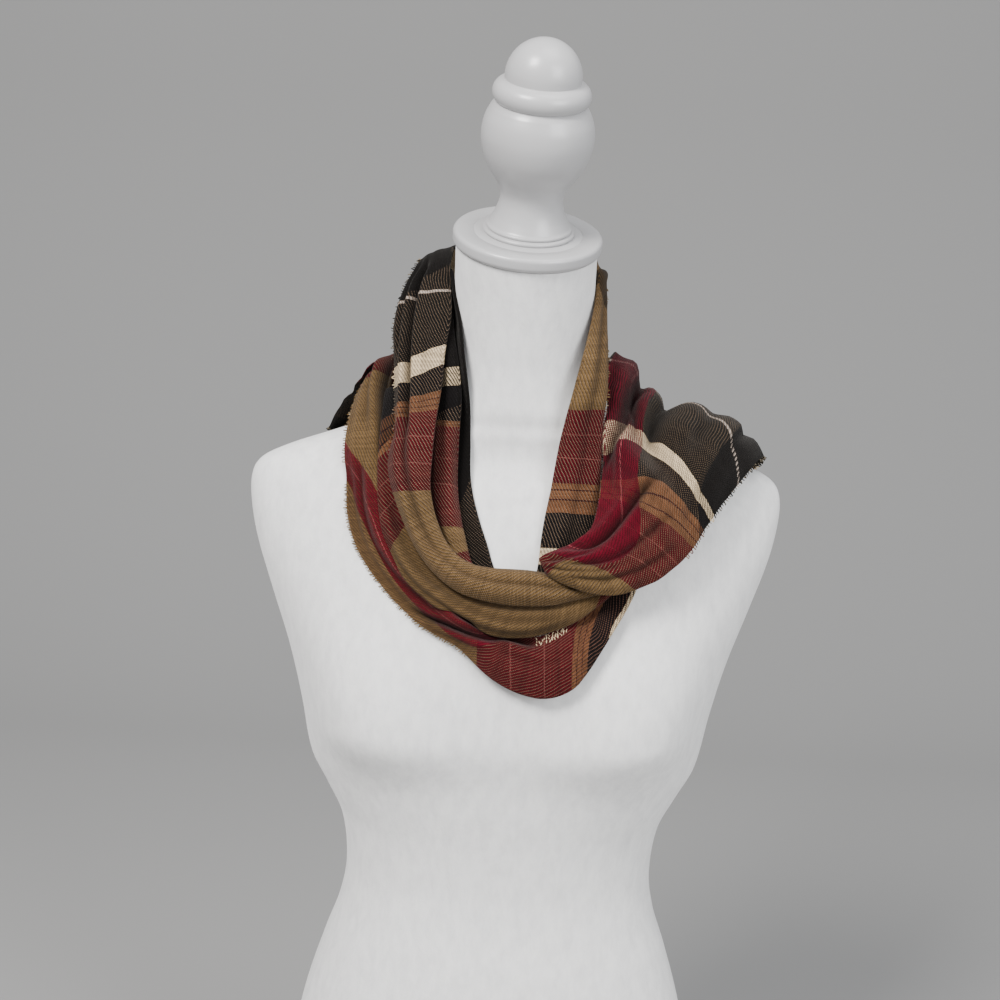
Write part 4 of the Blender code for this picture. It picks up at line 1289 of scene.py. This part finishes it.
yarn_material, yarn_shades, yarn_shader = new_material(
    "yarn_ends", srgb(140, 100, 70), 0.9, {"Specular IOR Level": 0.08}
)
yarn_place = add_node(yarn_shades, "ShaderNodeTexCoord").outputs["Object"]
bleached = add_noise(yarn_shades, yarn_place, 420.0, 2.0)["Fac"]
bleached = add_math(yarn_shades, "SUBTRACT", bleached, 0.48, clamp=True)
pale_share = add_math(yarn_shades, "MULTIPLY", bleached, 3.0)
yarn_weft = plaid_colours(yarn_shades)[0]
yarn_tone = blend_colours(yarn_shades, pale_share, yarn_weft, (*srgb(172, 158, 136), 1.0))
set_inputs(yarn_shader, {"Base Color": yarn_tone})


def edge_points(strip, across, starts, ends, band):
    """The cut edge's points, the way out of the cloth at each, and its place in the plaid with the painted
    crease shade there.
    """
    c = round(across * (strip.columns - 1))
    beside = c + 1 if across < 0.5 else c - 1
    spots, ways, setts_and_painted_shades = [], [], []
    for r, row in enumerate(strip.grid):
        if starts <= strip.rows[r]["run"] <= ends:
            way = ((row[c] - row[beside]).normalized() + strip.outward(r, c) * EDGE_LIFT).normalized()
            spots.append((row[c] - way * EDGE_INSET) * MM)
            ways.append(way)
            weft, warp, painted_crease_shade = strip.sett_and_painted_shade_at(r, c)
            setts_and_painted_shades.append((weft if band is None else band, warp, painted_crease_shade))
    return spots, ways, setts_and_painted_shades


edge_mesh = bpy.data.meshes.new("cut_edges")
edge_spots, edge_ways, edge_setts_and_painted_shades, edge_pairs = [], [], [], []
for strip, across, starts, ends, band in FRAYED_EDGES:
    spots, ways, setts_and_painted_shades = edge_points(strip, across, starts, ends, band)
    edge_pairs += [(len(edge_spots) + i, len(edge_spots) + i + 1) for i in range(len(spots) - 1)]
    edge_spots += spots
    edge_ways += ways
    edge_setts_and_painted_shades += setts_and_painted_shades
edge_mesh.from_pydata(edge_spots, edge_pairs, [])
keep_vectors(edge_mesh, "out_of_edge", edge_ways)
keep_vectors(edge_mesh, "sett_and_painted_shade", edge_setts_and_painted_shades)
edge_object = bpy.data.objects.new("cut_edges", edge_mesh)
bpy.context.scene.collection.objects.link(edge_object)
yarn_modifier = edge_object.modifiers.new("yarns", "NODES")
yarn_modifier.node_group = yarn_tree
yarn_inputs = {item.name: item.identifier for item in interface.items_tree if item.in_out == "INPUT"}
for input_name, value in (
    ("Spacing", YARN_SPACING * MM),
    ("Length", YARN_LENGTH * MM),
    ("Thickness", YARN_THICK * MM),
    ("Seed", YARN_SEED),
    ("Material", yarn_material),
):
    yarn_modifier[yarn_inputs[input_name]] = value
evaluated = edge_object.evaluated_get(bpy.context.evaluated_depsgraph_get())
yarn_mesh = bpy.data.meshes.new_from_object(evaluated)
bpy.data.objects.remove(edge_object)
yarn_mesh.shade_smooth()
yarn_piece = bpy.data.objects.new("yarn_ends", yarn_mesh)
bpy.context.scene.collection.objects.link(yarn_piece)
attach(yarn_piece, "root")
